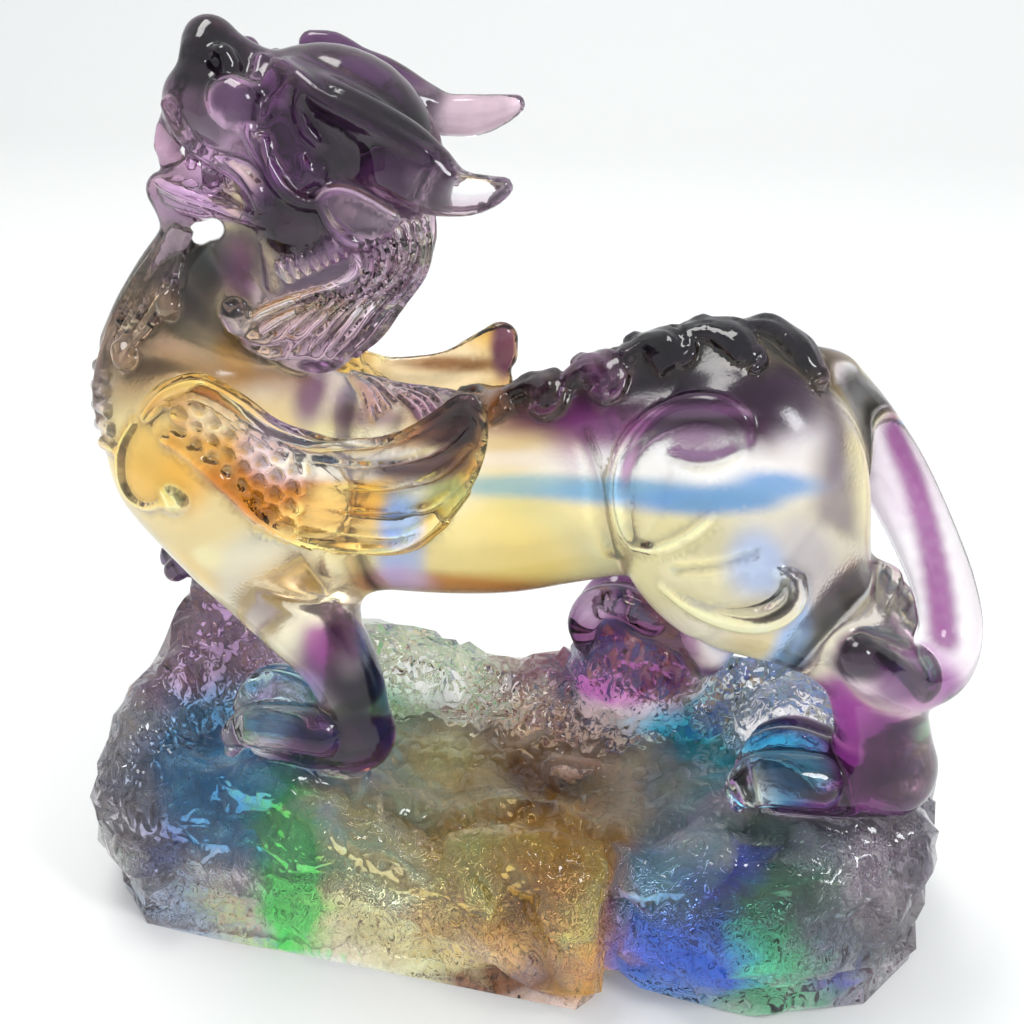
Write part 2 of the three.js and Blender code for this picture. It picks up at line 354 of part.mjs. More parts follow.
// Facets are merged, flattest and smallest first, until the solid has the facet budget.
function mergeFacets(positions, triangles, budget) {
  const n = positions.length / 3;
  const P = Float64Array.from(positions);
  const T = triangles.slice();
  const alive = new Uint8Array(T.length / 3).fill(1);
  const around = Array.from({ length: n }, () => new Set());
  const Q = new Float64Array(n * 10);
  const version = new Uint32Array(n);
  const gone = new Uint8Array(n);
  const normalOf = (a, b, c) => {
    const ux = b[0] - a[0], uy = b[1] - a[1], uz = b[2] - a[2];
    const vx = c[0] - a[0], vy = c[1] - a[1], vz = c[2] - a[2];
    return [uy * vz - uz * vy, uz * vx - ux * vz, ux * vy - uy * vx];
  };
  const at = (i) => [P[3 * i], P[3 * i + 1], P[3 * i + 2]];
  for (let t = 0; t < alive.length; t++) {
    const ids = [T[3 * t], T[3 * t + 1], T[3 * t + 2]];
    const a = at(ids[0]);
    const m = normalOf(a, at(ids[1]), at(ids[2]));
    const l = Math.hypot(...m);
    for (const i of ids) around[i].add(t);
    if (l < 1e-12) continue;
    const x = m[0] / l, y = m[1] / l, z = m[2] / l, w = -(x * a[0] + y * a[1] + z * a[2]);
    const k = [x * x, x * y, x * z, x * w, y * y, y * z, y * w, z * z, z * w, w * w];
    for (const i of ids) for (let j = 0; j < 10; j++) Q[10 * i + j] += k[j] * l * 0.5;
  }
  const errorAt = (q, p) => q[0] * p[0] * p[0] + 2 * q[1] * p[0] * p[1] + 2 * q[2] * p[0] * p[2] + 2 * q[3] * p[0] + q[4] * p[1] * p[1]
    + 2 * q[5] * p[1] * p[2] + 2 * q[6] * p[1] + q[7] * p[2] * p[2] + 2 * q[8] * p[2] + q[9];
  const neighbours = (i) => {
    const s = new Set();
    for (const t of around[i]) for (let j = 0; j < 3; j++) if (T[3 * t + j] !== i) s.add(T[3 * t + j]);
    return s;
  };
  function proposal(u, v) {
    const q = new Float64Array(10);
    for (let j = 0; j < 10; j++) q[j] = Q[10 * u + j] + Q[10 * v + j];
    const a = at(u), b = at(v), mid = [(a[0] + b[0]) / 2, (a[1] + b[1]) / 2, (a[2] + b[2]) / 2];
    const floorA = a[2] < 1e-6, floorB = b[2] < 1e-6;
    const options = floorA && !floorB ? [a] : floorB && !floorA ? [b] : [a, b, mid];
    if (!floorA && !floorB) {
      const [m00, m01, m02, m03, m11, m12, m13, m22, m23] = q;
      const det = m00 * (m11 * m22 - m12 * m12) - m01 * (m01 * m22 - m12 * m02) + m02 * (m01 * m12 - m11 * m02);
      if (Math.abs(det) > 1e-3) {
        const x = -(m03 * (m11 * m22 - m12 * m12) - m01 * (m13 * m22 - m12 * m23) + m02 * (m13 * m12 - m11 * m23)) / det;
        const y = -(m00 * (m13 * m22 - m23 * m12) - m03 * (m01 * m22 - m12 * m02) + m02 * (m01 * m23 - m13 * m02)) / det;
        const z = -(m00 * (m11 * m23 - m12 * m13) - m01 * (m01 * m23 - m13 * m02) + m03 * (m01 * m12 - m11 * m02)) / det;
        const reachBack = Math.hypot(x - mid[0], y - mid[1], z - mid[2]);
        if (reachBack < Math.hypot(a[0] - b[0], a[1] - b[1], a[2] - b[2])) options.push([x, y, z]);
      }
    }
    let best = null, cost = Infinity;
    for (const o of options) { const e = Math.abs(errorAt(q, o)); if (e < cost) { cost = e; best = o; } }
    const l = Math.hypot(a[0] - b[0], a[1] - b[1], a[2] - b[2]);
    return { u, v, vu: version[u], vv: version[v], at: best, cost: cost + 1e-3 * l * l + 1e-6 * l };
  }
  const heap = [];
  const push = (e) => { let i = heap.push(e) - 1; while (i > 0) { const p = (i - 1) >> 1; if (heap[p].cost <= heap[i].cost) break; [heap[p], heap[i]] = [heap[i], heap[p]]; i = p; } };
  const pop = () => {
    const top = heap[0], last = heap.pop();
    if (heap.length) {
      heap[0] = last;
      for (let i = 0; ;) {
        const l = 2 * i + 1, r = l + 1;
        let s = i;
        if (l < heap.length && heap[l].cost < heap[s].cost) s = l;
        if (r < heap.length && heap[r].cost < heap[s].cost) s = r;
        if (s === i) break;
        [heap[s], heap[i]] = [heap[i], heap[s]];
        i = s;
      }
    }
    return top;
  };
  for (let i = 0; i < n; i++) for (const j of neighbours(i)) if (j > i) push(proposal(i, j));
  let count = alive.length;
  while (count > budget && heap.length) {
    const e = pop();
    const { u, v } = e;
    if (gone[u] || gone[v] || e.vu !== version[u] || e.vv !== version[v]) continue;
    const nu = neighbours(u), nv = neighbours(v);
    let shared = 0;
    for (const i of nu) if (nv.has(i)) shared++;
    if (shared !== 2 || nu.size + nv.size - 4 < 4) continue;
    let folds = false;
    for (const w of [u, v]) {
      for (const t of around[w]) {
        const ids = [T[3 * t], T[3 * t + 1], T[3 * t + 2]];
        if (ids.includes(u) && ids.includes(v)) continue;
        const before = normalOf(at(ids[0]), at(ids[1]), at(ids[2]));
        const moved = ids.map((i) => (i === w ? e.at : at(i)));
        const after = normalOf(...moved);
        const lb = Math.hypot(...before), la = Math.hypot(...after);
        const longest = Math.max(...[0, 1, 2].map((i) => Math.hypot(...[0, 1, 2].map((j) => moved[i][j] - moved[(i + 1) % 3][j]))));
        if (la < 0.03 * longest * longest || la < 1e-3) { folds = true; break; }
        if (lb > 1e-4 && before[0] * after[0] + before[1] * after[1] + before[2] * after[2] < 0.35 * lb * la) { folds = true; break; }
      }
      if (folds) break;
    }
    if (folds) continue;
    for (const t of [...around[v]]) {
      const ids = [T[3 * t], T[3 * t + 1], T[3 * t + 2]];
      if (ids.includes(u)) {
        alive[t] = 0;
        count--;
        for (const i of ids) around[i].delete(t);
      } else {
        for (let j = 0; j < 3; j++) if (T[3 * t + j] === v) T[3 * t + j] = u;
        around[u].add(t);
      }
    }
    gone[v] = 1;
    [P[3 * u], P[3 * u + 1], P[3 * u + 2]] = e.at;
    for (let j = 0; j < 10; j++) Q[10 * u + j] += Q[10 * v + j];
    version[u]++;
    for (const i of neighbours(u)) push(proposal(u, i));
  }
  const index = new Map();
  const outP = [], outT = [];
  for (let t = 0; t < alive.length; t++) {
    if (!alive[t]) continue;
    for (let j = 0; j < 3; j++) {
      const i = T[3 * t + j];
      if (!index.has(i)) { index.set(i, outP.length / 3); outP.push(...at(i)); }
      outT.push(index.get(i));
    }
  }
  return { positions: outP, triangles: outT };
}

const shell = outerShell(body.vertProperties, Array.from(body.triVerts));
const merged = mergeFacets(body.vertProperties, shell, FACETS);
const geometry = new THREE.BufferGeometry();
geometry.setAttribute('position', new THREE.BufferAttribute(new Float32Array(merged.positions), 3));
geometry.setIndex(new THREE.BufferAttribute(new Uint32Array(merged.triangles), 1));
geometry.computeVertexNormals();

const glass = new THREE.MeshStandardMaterial({ color: 0xb9a27a, roughness: 0.18, metalness: 0.0, transparent: true, opacity: 0.35 });
const mesh = new THREE.Mesh(geometry, glass);
mesh.name = 'pixiu_on_rock';

const group = new THREE.Group();
group.add(mesh);
export default group;
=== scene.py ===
# A pixiu cast in one piece of clear and coloured glass, standing on a rock.
# The solid from the frame gives the place and the size. This script shapes the same casting with its fine carving,
# colours it through, and stands it on a pale studio floor.
import bpy, math
import numpy as np
from mathutils import Matrix, Vector


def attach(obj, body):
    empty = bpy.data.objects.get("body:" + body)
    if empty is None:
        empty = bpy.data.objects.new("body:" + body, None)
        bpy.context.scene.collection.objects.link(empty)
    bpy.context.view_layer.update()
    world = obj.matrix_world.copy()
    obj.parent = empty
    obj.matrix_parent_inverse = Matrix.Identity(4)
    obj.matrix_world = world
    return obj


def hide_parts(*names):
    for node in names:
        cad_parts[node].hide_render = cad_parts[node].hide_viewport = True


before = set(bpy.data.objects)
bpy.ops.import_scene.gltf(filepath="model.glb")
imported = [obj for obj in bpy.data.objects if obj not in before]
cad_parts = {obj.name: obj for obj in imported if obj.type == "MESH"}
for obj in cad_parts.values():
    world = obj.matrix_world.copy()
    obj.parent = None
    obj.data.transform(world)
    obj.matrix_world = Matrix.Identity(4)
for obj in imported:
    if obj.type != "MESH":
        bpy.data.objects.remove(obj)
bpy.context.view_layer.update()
f32 = np.float32

# ---- the sculpting field: signed distance in millimetres on a regular grid ----
GRID = 0.56         # grid step, mm
LOW, HIGH = (-116, -50, -2.0), (114, 50, 222)
SHIFT = (-0.98, 1.47, 0.0)            # from the carving's own axes to the middle of the frame
MIDHEAD = -4.0                        # the head turns a little, so its middle lies at this y
TRIANGLES = 197000
ROCK_PALE = 0.2
ROCK_FRONT = 0.9
BODY_DEEP, BODY_FRONT = 1.2, 0.7
CARVING_SHARE = 0.72                  # how readily the carving is thinned, against 1 for the rock

def unit(a):
    a = np.asarray(a, float)
    return a / np.linalg.norm(a)

class Field:
    def __init__(s, lo, hi, h):
        s.h = float(h)
        s.lo = np.array(lo, float)
        s.n = np.ceil((np.array(hi, float) - s.lo) / h).astype(int) + 1
        s.d = np.full(s.n, 60.0, f32)
        s.m = np.zeros(s.n, np.uint8)
    def sub(s, lo, hi):
        a = np.clip(np.floor((np.asarray(lo) - s.lo) / s.h).astype(int), 0, s.n - 1)
        b = np.clip(np.ceil((np.asarray(hi) - s.lo) / s.h).astype(int) + 1, 1, s.n)
        sl = tuple(slice(int(a[i]), int(b[i])) for i in range(3))
        ax = [(s.lo[i] + s.h * np.arange(a[i], b[i])).astype(f32) for i in range(3)]
        return sl, ax[0][:, None, None], ax[1][None, :, None], ax[2][None, None, :]
    def at(s, p, what=None):
        g = np.clip((np.asarray(p) - s.lo) / s.h, 0, s.n - 1.001)
        src = s.d if what is None else what
        i = g.astype(int)
        t = g - i
        out = 0.0
        for a in (0, 1):
            for b in (0, 1):
                for c in (0, 1):
                    w = (t[:, 0] if a else 1 - t[:, 0]) * (t[:, 1] if b else 1 - t[:, 1]) * (t[:, 2] if c else 1 - t[:, 2])
                    out = out + w * src[i[:, 0] + a, i[:, 1] + b, i[:, 2] + c]
        return out

def smin(a, b, k):
    if k <= 0:
        return np.minimum(a, b)
    h = np.maximum(k - np.abs(a - b), 0)
    return np.minimum(a, b) - h * h * (0.25 / k)

def smax(a, b, k):
    return -smin(-a, -b, k)

def spline(pts, step):
    p = np.array(pts, float)
    if len(p) < 3:
        n = max(2, int(np.linalg.norm(p[1, :3] - p[0, :3]) / step) + 1)
        t = np.linspace(0, 1, n)[:, None]
        return p[0] * (1 - t) + p[1] * t
    q = np.vstack([2 * p[0] - p[1], p, 2 * p[-1] - p[-2]])
    out = []
    for i in range(1, len(q) - 2):
        n = max(2, int(math.ceil(np.linalg.norm(q[i + 1, :3] - q[i, :3]) / step)))
        t = np.linspace(0, 1, n, endpoint=False)[:, None]
        a, b, c, d = q[i - 1], q[i], q[i + 1], q[i + 2]
        out.append(0.5 * ((2 * b) + (-a + c) * t + (2 * a - 5 * b + 4 * c - d) * t * t + (-a + 3 * b - 3 * c + d) * t ** 3))
    out.append(p[-1:])
    return np.vstack(out)

def put(F, sl, d, k, m, op):
    cur = F.d[sl]
    if op == "add":
        F.m[sl] = np.where(d < cur, np.uint8(m), F.m[sl])
        F.d[sl] = smin(cur, d, k)
    else:
        F.m[sl] = np.where(-d > cur, np.uint8(m), F.m[sl])
        F.d[sl] = smax(cur, -d, k)

def tube(F, pts, k=1.0, m=1, flat=None, op="add"):
    """A swept ball of changing radius, thinned along one direction if flat is (direction, factor)."""
    P = spline(pts, 1.2 if max(p[3] for p in pts) < 3 else 2.0)
    pad = k + 1.5 * F.h
    rmax = P[:, 3].max()
    sl, x, y, z = F.sub(P[:, :3].min(0) - rmax - pad, P[:, :3].max(0) + rmax + pad)
    shape = (x.shape[0], y.shape[1], z.shape[2])
    if min(shape) == 0:
        return
    d = np.full(shape, 60.0, f32)
    o = np.array([x[0, 0, 0], y[0, 0, 0], z[0, 0, 0]], float)
    if flat is not None:
        n, s = unit(flat[0]), float(flat[1]) - 1.0
    for i in range(len(P) - 1):
        a, b, ra, rb = P[i, :3], P[i + 1, :3], P[i, 3], P[i + 1, 3]
        rm = max(ra, rb) + pad
        i0 = np.clip(np.floor((np.minimum(a, b) - rm - o) / F.h).astype(int), 0, shape)
        i1 = np.clip(np.ceil((np.maximum(a, b) + rm - o) / F.h).astype(int) + 1, 0, shape)
        if (i1 <= i0).any():
            continue
        X = x[i0[0]:i1[0]] - f32(a[0])
        Y = y[:, i0[1]:i1[1]] - f32(a[1])
        Z = z[:, :, i0[2]:i1[2]] - f32(a[2])
        ab = b - a
        if flat is not None:
            w = X * f32(n[0]) + Y * f32(n[1]) + Z * f32(n[2])
            X, Y, Z = X + f32(s * n[0]) * w, Y + f32(s * n[1]) * w, Z + f32(s * n[2]) * w
            ab = ab + s * np.dot(ab, n) * n
        t = np.clip((X * f32(ab[0]) + Y * f32(ab[1]) + Z * f32(ab[2])) / f32(ab @ ab + 1e-9), 0, 1)
        dd = np.sqrt((X - t * f32(ab[0])) ** 2 + (Y - t * f32(ab[1])) ** 2 + (Z - t * f32(ab[2])) ** 2) - (f32(ra) + f32(rb - ra) * t)
        v = d[i0[0]:i1[0], i0[1]:i1[1], i0[2]:i1[2]]
        np.minimum(v, dd, out=v)
    put(F, sl, d, k, m, op)

def ellipsoid(F, c, r, k, m):
    c, r = np.asarray(c, float), np.asarray(r, float)
    pad = k + 1.5 * F.h
    sl, x, y, z = F.sub(c - r - pad, c + r + pad)
    q = [(x - f32(c[0])), (y - f32(c[1])), (z - f32(c[2]))]
    k0 = np.sqrt(sum((q[i] / f32(r[i])) ** 2 for i in range(3)))
    k1 = np.sqrt(sum((q[i] / f32(r[i] ** 2)) ** 2 for i in range(3)))
    put(F, sl, (k0 * (k0 - 1) / np.maximum(k1, 1e-6)).astype(f32), k, m, "add")

def surface(F):
    """Vertices and quads of the zero surface, one vertex in each cell that it crosses."""
    d = F.d
    s = d < 0
    nx, ny, nz = d.shape
    c = s[:-1, :-1, :-1].astype(np.uint8)
    for i, j, k in ((1, 0, 0), (0, 1, 0), (0, 0, 1), (1, 1, 0), (1, 0, 1), (0, 1, 1), (1, 1, 1)):
        c = c + s[i:nx - 1 + i, j:ny - 1 + j, k:nz - 1 + k]
    act = (c > 0) & (c < 8)
    idx = np.full(act.shape, -1, np.int32)
    cells = np.argwhere(act)
    idx[act] = np.arange(len(cells), dtype=np.int32)
    acc = np.zeros((len(cells), 3), f32)
    cnt = np.zeros(len(cells), f32)
    ci, cj, ck = cells.T
    corner = {(i, j, k): d[ci + i, cj + j, ck + k] for i in (0, 1) for j in (0, 1) for k in (0, 1)}
    for a in corner:
        for ax in range(3):
            if a[ax]:
                continue
            b = list(a)
            b[ax] = 1
            va, vb = corner[a], corner[tuple(b)]
            x = (va < 0) != (vb < 0)
            t = np.where(x, va / np.where(x, va - vb, 1), 0)
            for q in range(3):
                acc[:, q] += np.where(x, (a[q] + (t if q == ax else 0)), 0)
            cnt += x
    v = (cells + acc / cnt[:, None]) * F.h + F.lo
    quads = []
    for ax in range(3):
        e = [slice(1, n - 1) for n in d.shape]
        e[ax] = slice(0, d.shape[ax] - 1)
        e2 = list(e)
        e2[ax] = slice(1, d.shape[ax])
        s0, s1 = s[tuple(e)], s[tuple(e2)]
        fl = np.argwhere(s0 != s1)
        off = np.array([1, 1, 1])
        off[ax] = 0
        g = fl + off
        u, w = (ax + 1) % 3, (ax + 2) % 3
        def cell(du, dw):
            q = g.copy()
            q[:, u] -= du
            q[:, w] -= dw
            return idx[q[:, 0], q[:, 1], q[:, 2]]
        Q = np.stack([cell(1, 1), cell(0, 1), cell(0, 0), cell(1, 0)], 1)
        flip = ~s0[tuple(fl.T)]
        Q[flip] = Q[flip][:, ::-1]
        quads.append(Q)
    return v.astype(np.float64), np.vstack(quads)

def lattice(p, seed):
    """Smooth value noise in about -1..1 at points p, one cell a unit."""
    rng = np.random.RandomState(seed)
    tab = rng.uniform(-1, 1, 4096).astype(f32)
    i = np.floor(p).astype(np.int64)
    t = (p - i).astype(f32)
    t = t * t * t * (t * (t * 6 - 15) + 10)
    out = 0
    for a in (0, 1):
        for b in (0, 1):
            for c in (0, 1):
                hsh = ((i[:, 0] + a) * 73856093 ^ (i[:, 1] + b) * 19349663 ^ (i[:, 2] + c) * 83492791) & 4095
                w = (t[:, 0] if a else 1 - t[:, 0]) * (t[:, 1] if b else 1 - t[:, 1]) * (t[:, 2] if c else 1 - t[:, 2])
                out = out + w * tab[hsh]
    return out

def smooth01(x):
    x = np.clip(x, 0, 1)
    return x * x * (3 - 2 * x)

# labels: 0 rock, 1 body, 2 legs, 3 feet, 4 tail, 5 head, 6 muzzle, 7 horns, 8 mane, 9 beard, 10 wings, 11 back locks
MASSES = [
    ((50, -9, 121), (28, 20, 31), 6, 1),  # haunch
    ((50, 9, 121), (28, 20, 31), 6, 1),  # haunch_far
    ((-70.8, -15, 129), (16.5, 13, 20), 6, 1),  # shoulder
    ((-69.8, 15, 129), (16.5, 13, 20), 6, 1),  # shoulder_far
]
FORMS = [  # label, blend, mirror (1 about the head, 2 about the body, 3 about the body and lower), flattening, add or cut, then (x, y, z, radius)
    (1, 0, 0, None, "add", [(-62, 0, 122, 24), (-48, 0, 117, 24.5), (-28, 0, 113.5, 23.5), (-5, 0, 113.5, 23), (12, 0, 117, 22.5), (30, 0, 123.5, 24.5), (50, 0, 125.5, 27.5)]),  # trunk
    (1, 6, 0, None, "add", [(-70.9, 0, 137.4, 22.5), (-68.1, -1, 147.5, 18.5), (-60.1, -3, 158.7, 14.5), (-51.6, -4, 169.1, 13.5), (-45.5, -4, 179.8, 14)]),  # neck
    (1, 6, 0, None, "add", [(-81.2, 0, 126.2, 15), (-82.6, 0, 133.7, 12.5), (-79.6, -1, 142.2, 10)]),  # chest
    (5, 5, 0, None, "add", [(-42.8, -4, 201.4, 8), (-37, -4, 199.9, 11.5), (-31.1, -4, 196.6, 13), (-26.6, -4, 192.8, 11.8), (-24.7, -4, 189.4, 10.8)]),  # skull
    (5, 6, 0, None, "add", [(-42.9, -4, 190.5, 12), (-37.6, -4, 183.1, 13.2), (-32.8, -4, 178.3, 11.5)]),  # skull_low
    (5, 3, 0, None, "add", [(-42, -4, 201.4, 8), (-48, -4, 202.4, 7.4), (-53.4, -4, 205.7, 6.2), (-58.3, -4, 209.4, 5.6)]),  # bridge
    (5, 2, 0, None, "add", [(-59.5, -4.5, 211.2, 4.6), (-59.5, -7.5, 209.3, 4.6), (-57.4, -9, 206.8, 4.2)]),  # nose
    (5, 2, 0, None, "add", [(-59.5, -3.5, 211.2, 4.6), (-59.5, -0.5, 209.3, 4.6), (-57.4, 1, 206.8, 4.2)]),  # nose_far
    (6, 3, 0, None, "add", [(-60.5, -9.5, 201.4, 7), (-54.6, -11, 199.5, 7.4), (-48.5, -12, 196.4, 8.3)]),  # muzzle
    (6, 3, 0, None, "add", [(-60.5, 1.5, 201.4, 7), (-54.6, 3, 199.5, 7.4), (-48.5, 4, 196.4, 8.3)]),  # muzzle_far
    (7, 3, 0, None, "add", [(-20, -19, 190.4, 5.2), (-13.2, -20, 187, 4.6), (-5.9, -20.5, 186.5, 4), (-1.2, -21, 187.3, 2.8), (0.9, -21, 188.1, 1.9)]),  # horn
    (7, 3, 0, None, "add", [(-24.8, 12, 197.9, 4.8), (-17.6, 13, 195.9, 4.3), (-9.6, 14, 195.7, 4.2), (-3.8, 15, 196.9, 3), (-1, 15, 197.9, 2)]),  # horn_far
    (5, 4, 0, None, "add", [(-41.4, -13, 205.5, 3.2), (-36.9, -15.5, 204, 3.6), (-31.3, -17.5, 202.1, 4), (-24.5, -18.5, 198.9, 4.4), (-17.9, -19, 194.8, 4.8), (-13.2, -19.5, 191, 4.6)]),  # ridge
    (5, 4, 0, None, "add", [(-43, 11, 209.6, 2.8), (-38.7, 12, 208.8, 3.2), (-33.8, 12, 205.7, 3.6), (-27.6, 12, 202.7, 4.2), (-21.1, 13, 197.9, 4)]),  # ridge_far
    (5, 4, 0, None, "add", [(-42.8, -14.5, 191.3, 8.4), (-42.5, -16.5, 185.5, 7.4), (-42, -18.5, 180, 5.8)]),  # cheek
    (5, 4, 0, None, "add", [(-42.8, 6.5, 191.3, 8.4), (-42.5, 8.5, 185.5, 7.4), (-42, 10.5, 180, 5.8)]),  # cheek_far
    (6, 2, 0, None, "add", [(-45.7, -13, 179.6, 5.6), (-53.8, -12.4, 180, 3.6), (-60.9, -11.4, 181.4, 3.2), (-66.8, -9.2, 182.4, 3.4), (-72.3, -4, 182.2, 3.6)]),  # jaw
    (6, 2, 0, None, "add", [(-45.7, 5, 179.6, 5.6), (-53.8, 4.4, 180, 3.6), (-60.9, 3.4, 181.4, 3.2), (-66.8, 1.2, 182.4, 3.4), (-72.3, -4, 182.2, 3.6)]),  # jaw_far
    (6, 3, 0, None, "add", [(-50.8, -4, 178.2, 7), (-58.8, -4, 179.3, 5.6), (-67.4, -4, 179.9, 4.6)]),  # jaw_floor
    (6, 4, 0, None, "add", [(-49.1, -4, 190.8, 11), (-56, -4, 195, 9), (-62, -4, 198, 8)]),  # palate
    (8, 4, 0, None, "add", [(-25.8, -4, 183.4, 9.5), (-27.5, -4, 175.6, 10.6), (-31.4, -4, 167.5, 11.2), (-37.6, -4, 159.2, 11), (-42, -4, 152.5, 9)]),  # mane
    (8, 4, 0, None, "add", [(-37.5, -4, 178, 16), (-40.3, -4, 169.5, 16), (-45.4, -4, 160.7, 14)]),  # mane2
    (9, 2, 0, None, "add", [(-69, -5, 176.7, 4.2), (-70.3, -5, 172, 4.6), (-75.1, -4, 164, 6.2), (-80.6, -3, 155.2, 7.2), (-84.8, -2, 147.1, 8)]),  # beard
    (2, 11, 0, None, "add", [(-63.7, -16, 123.8, 18), (-59.2, -18, 112.6, 16.2), (-51.6, -20, 100.8, 13.2), (-45.2, -21, 90.5, 10.8), (-38.6, -22, 80.8, 9), (-35.2, -22, 69.8, 8.2), (-34.9, -22, 60.2, 8.2)]),  # leg_front_near
    (3, 3, 0, None, "add", [(-34.4, -22, 58.2, 8.8), (-44.2, -22, 58.4, 8.6), (-54.8, -22, 58.9, 8)]),  # paw_front_near
    (2, 14, 0, None, "add", [(53.7, -18, 110, 19), (64.9, -20, 102.1, 14.5), (74.6, -20, 94.7, 12.2), (81.3, -20, 85.8, 10.6), (85.6, -20, 73.5, 10.2), (88.1, -20, 61.6, 11.2)]),  # leg_rear_near
    (3, 3, 0, None, "add", [(88.5, -20, 58.8, 11), (77.8, -21, 55.6, 8.6), (66.3, -22, 55.9, 8.4)]),  # paw_rear_near
    (3, 3, 0, None, "add", [(80.5, -17, 101.4, 8.8), (85.3, -18, 97.8, 5.2)]),  # hock_near
    (2, 14, 0, None, "add", [(54.4, 10.5, 97, 16.5), (53.8, 15.5, 81.3, 12), (50.7, 19.5, 70.3, 8.6), (47.1, 20, 63.2, 7.4)]),  # leg_rear_far
    (3, 3, 0, None, "add", [(47.2, 20, 62.6, 7.4), (35.4, 20, 62.9, 7.6), (26.2, 20, 64, 7.2)]),  # paw_rear_far
    (2, 11, 0, None, "add", [(-62, 16, 114, 17), (-53, 18, 102, 11.5), (-57, 20, 92, 9.5), (-70, 20, 87, 7.8), (-80, 20, 83, 7)]),  # leg_front_far
    (3, 3, 0, None, "add", [(-78, 20, 83, 7), (-88, 20, 81, 6.4)]),  # paw_front_far
    (4, 3, 0, None, "add", [(67.7, 0, 143.2, 8.2), (75.8, 2, 134.4, 8), (85.1, 3, 122.4, 7.6), (93.3, 2, 108.9, 7.2), (98.9, -2, 97.7, 7), (100.7, -8, 89, 7), (97, -16, 84.4, 7), (87.9, -25, 86.4, 6.7), (79.6, -32, 93.9, 5.8), (75.8, -34, 97.6, 4.8)]),  # tail
    (10, 1.5, 0, ((0.1, 1, 0.15), 2), "add", [(-65.4, -24, 140.7, 5.5), (-60.5, -25, 138.7, 6.8), (-54.3, -25.5, 134.7, 8.6), (-47.7, -26, 129.7, 10), (-41.4, -26, 125, 10.6)]),  # wing_plate
    (10, 1.5, 0, ((0.1, -1, 0.15), 2), "add", [(-65.4, 24, 138.3, 5.5), (-60.5, 25, 136.3, 6.8), (-54.3, 25.5, 132.3, 8.6), (-47.7, 26, 127.3, 10), (-41.4, 26, 122.6, 10.6)]),  # wing_plate_far
    (10, 1.5, 0, None, "add", [(-73.3, -25, 140.1, 2.4), (-67.8, -25, 145.5, 2.6), (-61.2, -26, 147.5, 2.8), (-53.8, -27, 144.1, 2.8), (-46.1, -28, 139.3, 2.6), (-38, -28, 136.2, 2.6)]),  # wing_rim
    (10, 1.5, 0, None, "add", [(-73.3, 25, 137.7, 2.4), (-67.8, 25, 143.1, 2.6), (-61.2, 26, 145.1, 2.8), (-53.8, 27, 141.7, 2.8), (-46.1, 28, 136.9, 2.6), (-38, 28, 133.8, 2.6)]),  # wing_rim_far
    (10, 2.2, 0, ((0.12, 1, 0.2), 1.7), "add", [(-40.8, -27, 135.6, 2.8), (-30, -28, 135.5, 3), (-19.4, -28.5, 136.7, 3.6), (-11.2, -28, 140.7, 4.4), (-6, -27, 144.5, 4.2)]),  # feather1
    (10, 2.2, 0, ((0.12, -1, 0.2), 1.7), "add", [(-40.8, 27, 133.2, 2.8), (-30, 28, 133.1, 3), (-19.4, 28.5, 134.3, 3.6), (-11.2, 28, 138.3, 4.4), (-6, 27, 142.1, 4.2)]),  # feather1_far
    (10, 2.2, 0, ((0.12, 1, 0.2), 1.7), "add", [(-41.6, -26, 130.6, 2.8), (-30.6, -27, 129.8, 3.2), (-19.9, -27.5, 130.6, 3.6), (-10.5, -27, 135.2, 4.2), (-5.3, -26.5, 140.4, 3.4)]),  # feather2
    (10, 2.2, 0, ((0.12, -1, 0.2), 1.7), "add", [(-41.6, 26, 128.2, 2.8), (-30.6, 27, 127.4, 3.2), (-19.9, 27.5, 128.2, 3.6), (-10.5, 27, 132.8, 4.2), (-5.3, 26.5, 138, 3.4)]),  # feather2_far
    (10, 2.2, 0, ((0.12, 1, 0.2), 1.7), "add", [(-42.9, -26, 125.4, 3), (-31.1, -26.5, 124.2, 3.2), (-20.4, -26.5, 124.1, 3.6), (-11.9, -26, 127.6, 4.2), (-5.9, -26, 133.9, 3)]),  # feather3
    (10, 2.2, 0, ((0.12, -1, 0.2), 1.7), "add", [(-42.9, 26, 123, 3), (-31.1, 26.5, 121.8, 3.2), (-20.4, 26.5, 121.7, 3.6), (-11.9, 26, 125.2, 4.2), (-5.9, 26, 131.5, 3)]),  # feather3_far
    (10, 2.2, 0, ((0.12, 1, 0.2), 1.7), "add", [(-44.2, -26, 120.1, 3), (-32.7, -26, 118.6, 3.2), (-21.9, -26, 118.1, 3.6), (-14.3, -25.5, 120.7, 4), (-8.2, -25.5, 126.7, 2.8)]),  # feather4
    (10, 2.2, 0, ((0.12, -1, 0.2), 1.7), "add", [(-44.2, 26, 117.7, 3), (-32.7, 26, 116.2, 3.2), (-21.9, 26, 115.7, 3.6), (-14.3, 25.5, 118.3, 4), (-8.2, 25.5, 124.3, 2.8)]),  # feather4_far
    (10, 2.2, 0, ((0.12, 1, 0.2), 1.7), "add", [(-46.5, -25, 115, 2.8), (-35.5, -25, 113, 3), (-25.6, -25, 112.5, 3), (-19, -25, 114.4, 3.2), (-13.2, -25, 119.1, 2.6)]),  # feather5
    (10, 2.2, 0, ((0.12, -1, 0.2), 1.7), "add", [(-46.5, 25, 112.6, 2.8), (-35.5, 25, 110.6, 3), (-25.6, 25, 110.1, 3), (-19, 25, 112, 3.2), (-13.2, 25, 116.7, 2.6)]),  # feather5_far
    (5, 5, 1, None, "add", [(-42, -9, 195, 7.4), (-32, -9.5, 192.6, 10.2), (-24, -9, 188.5, 8.6)]),  # temple
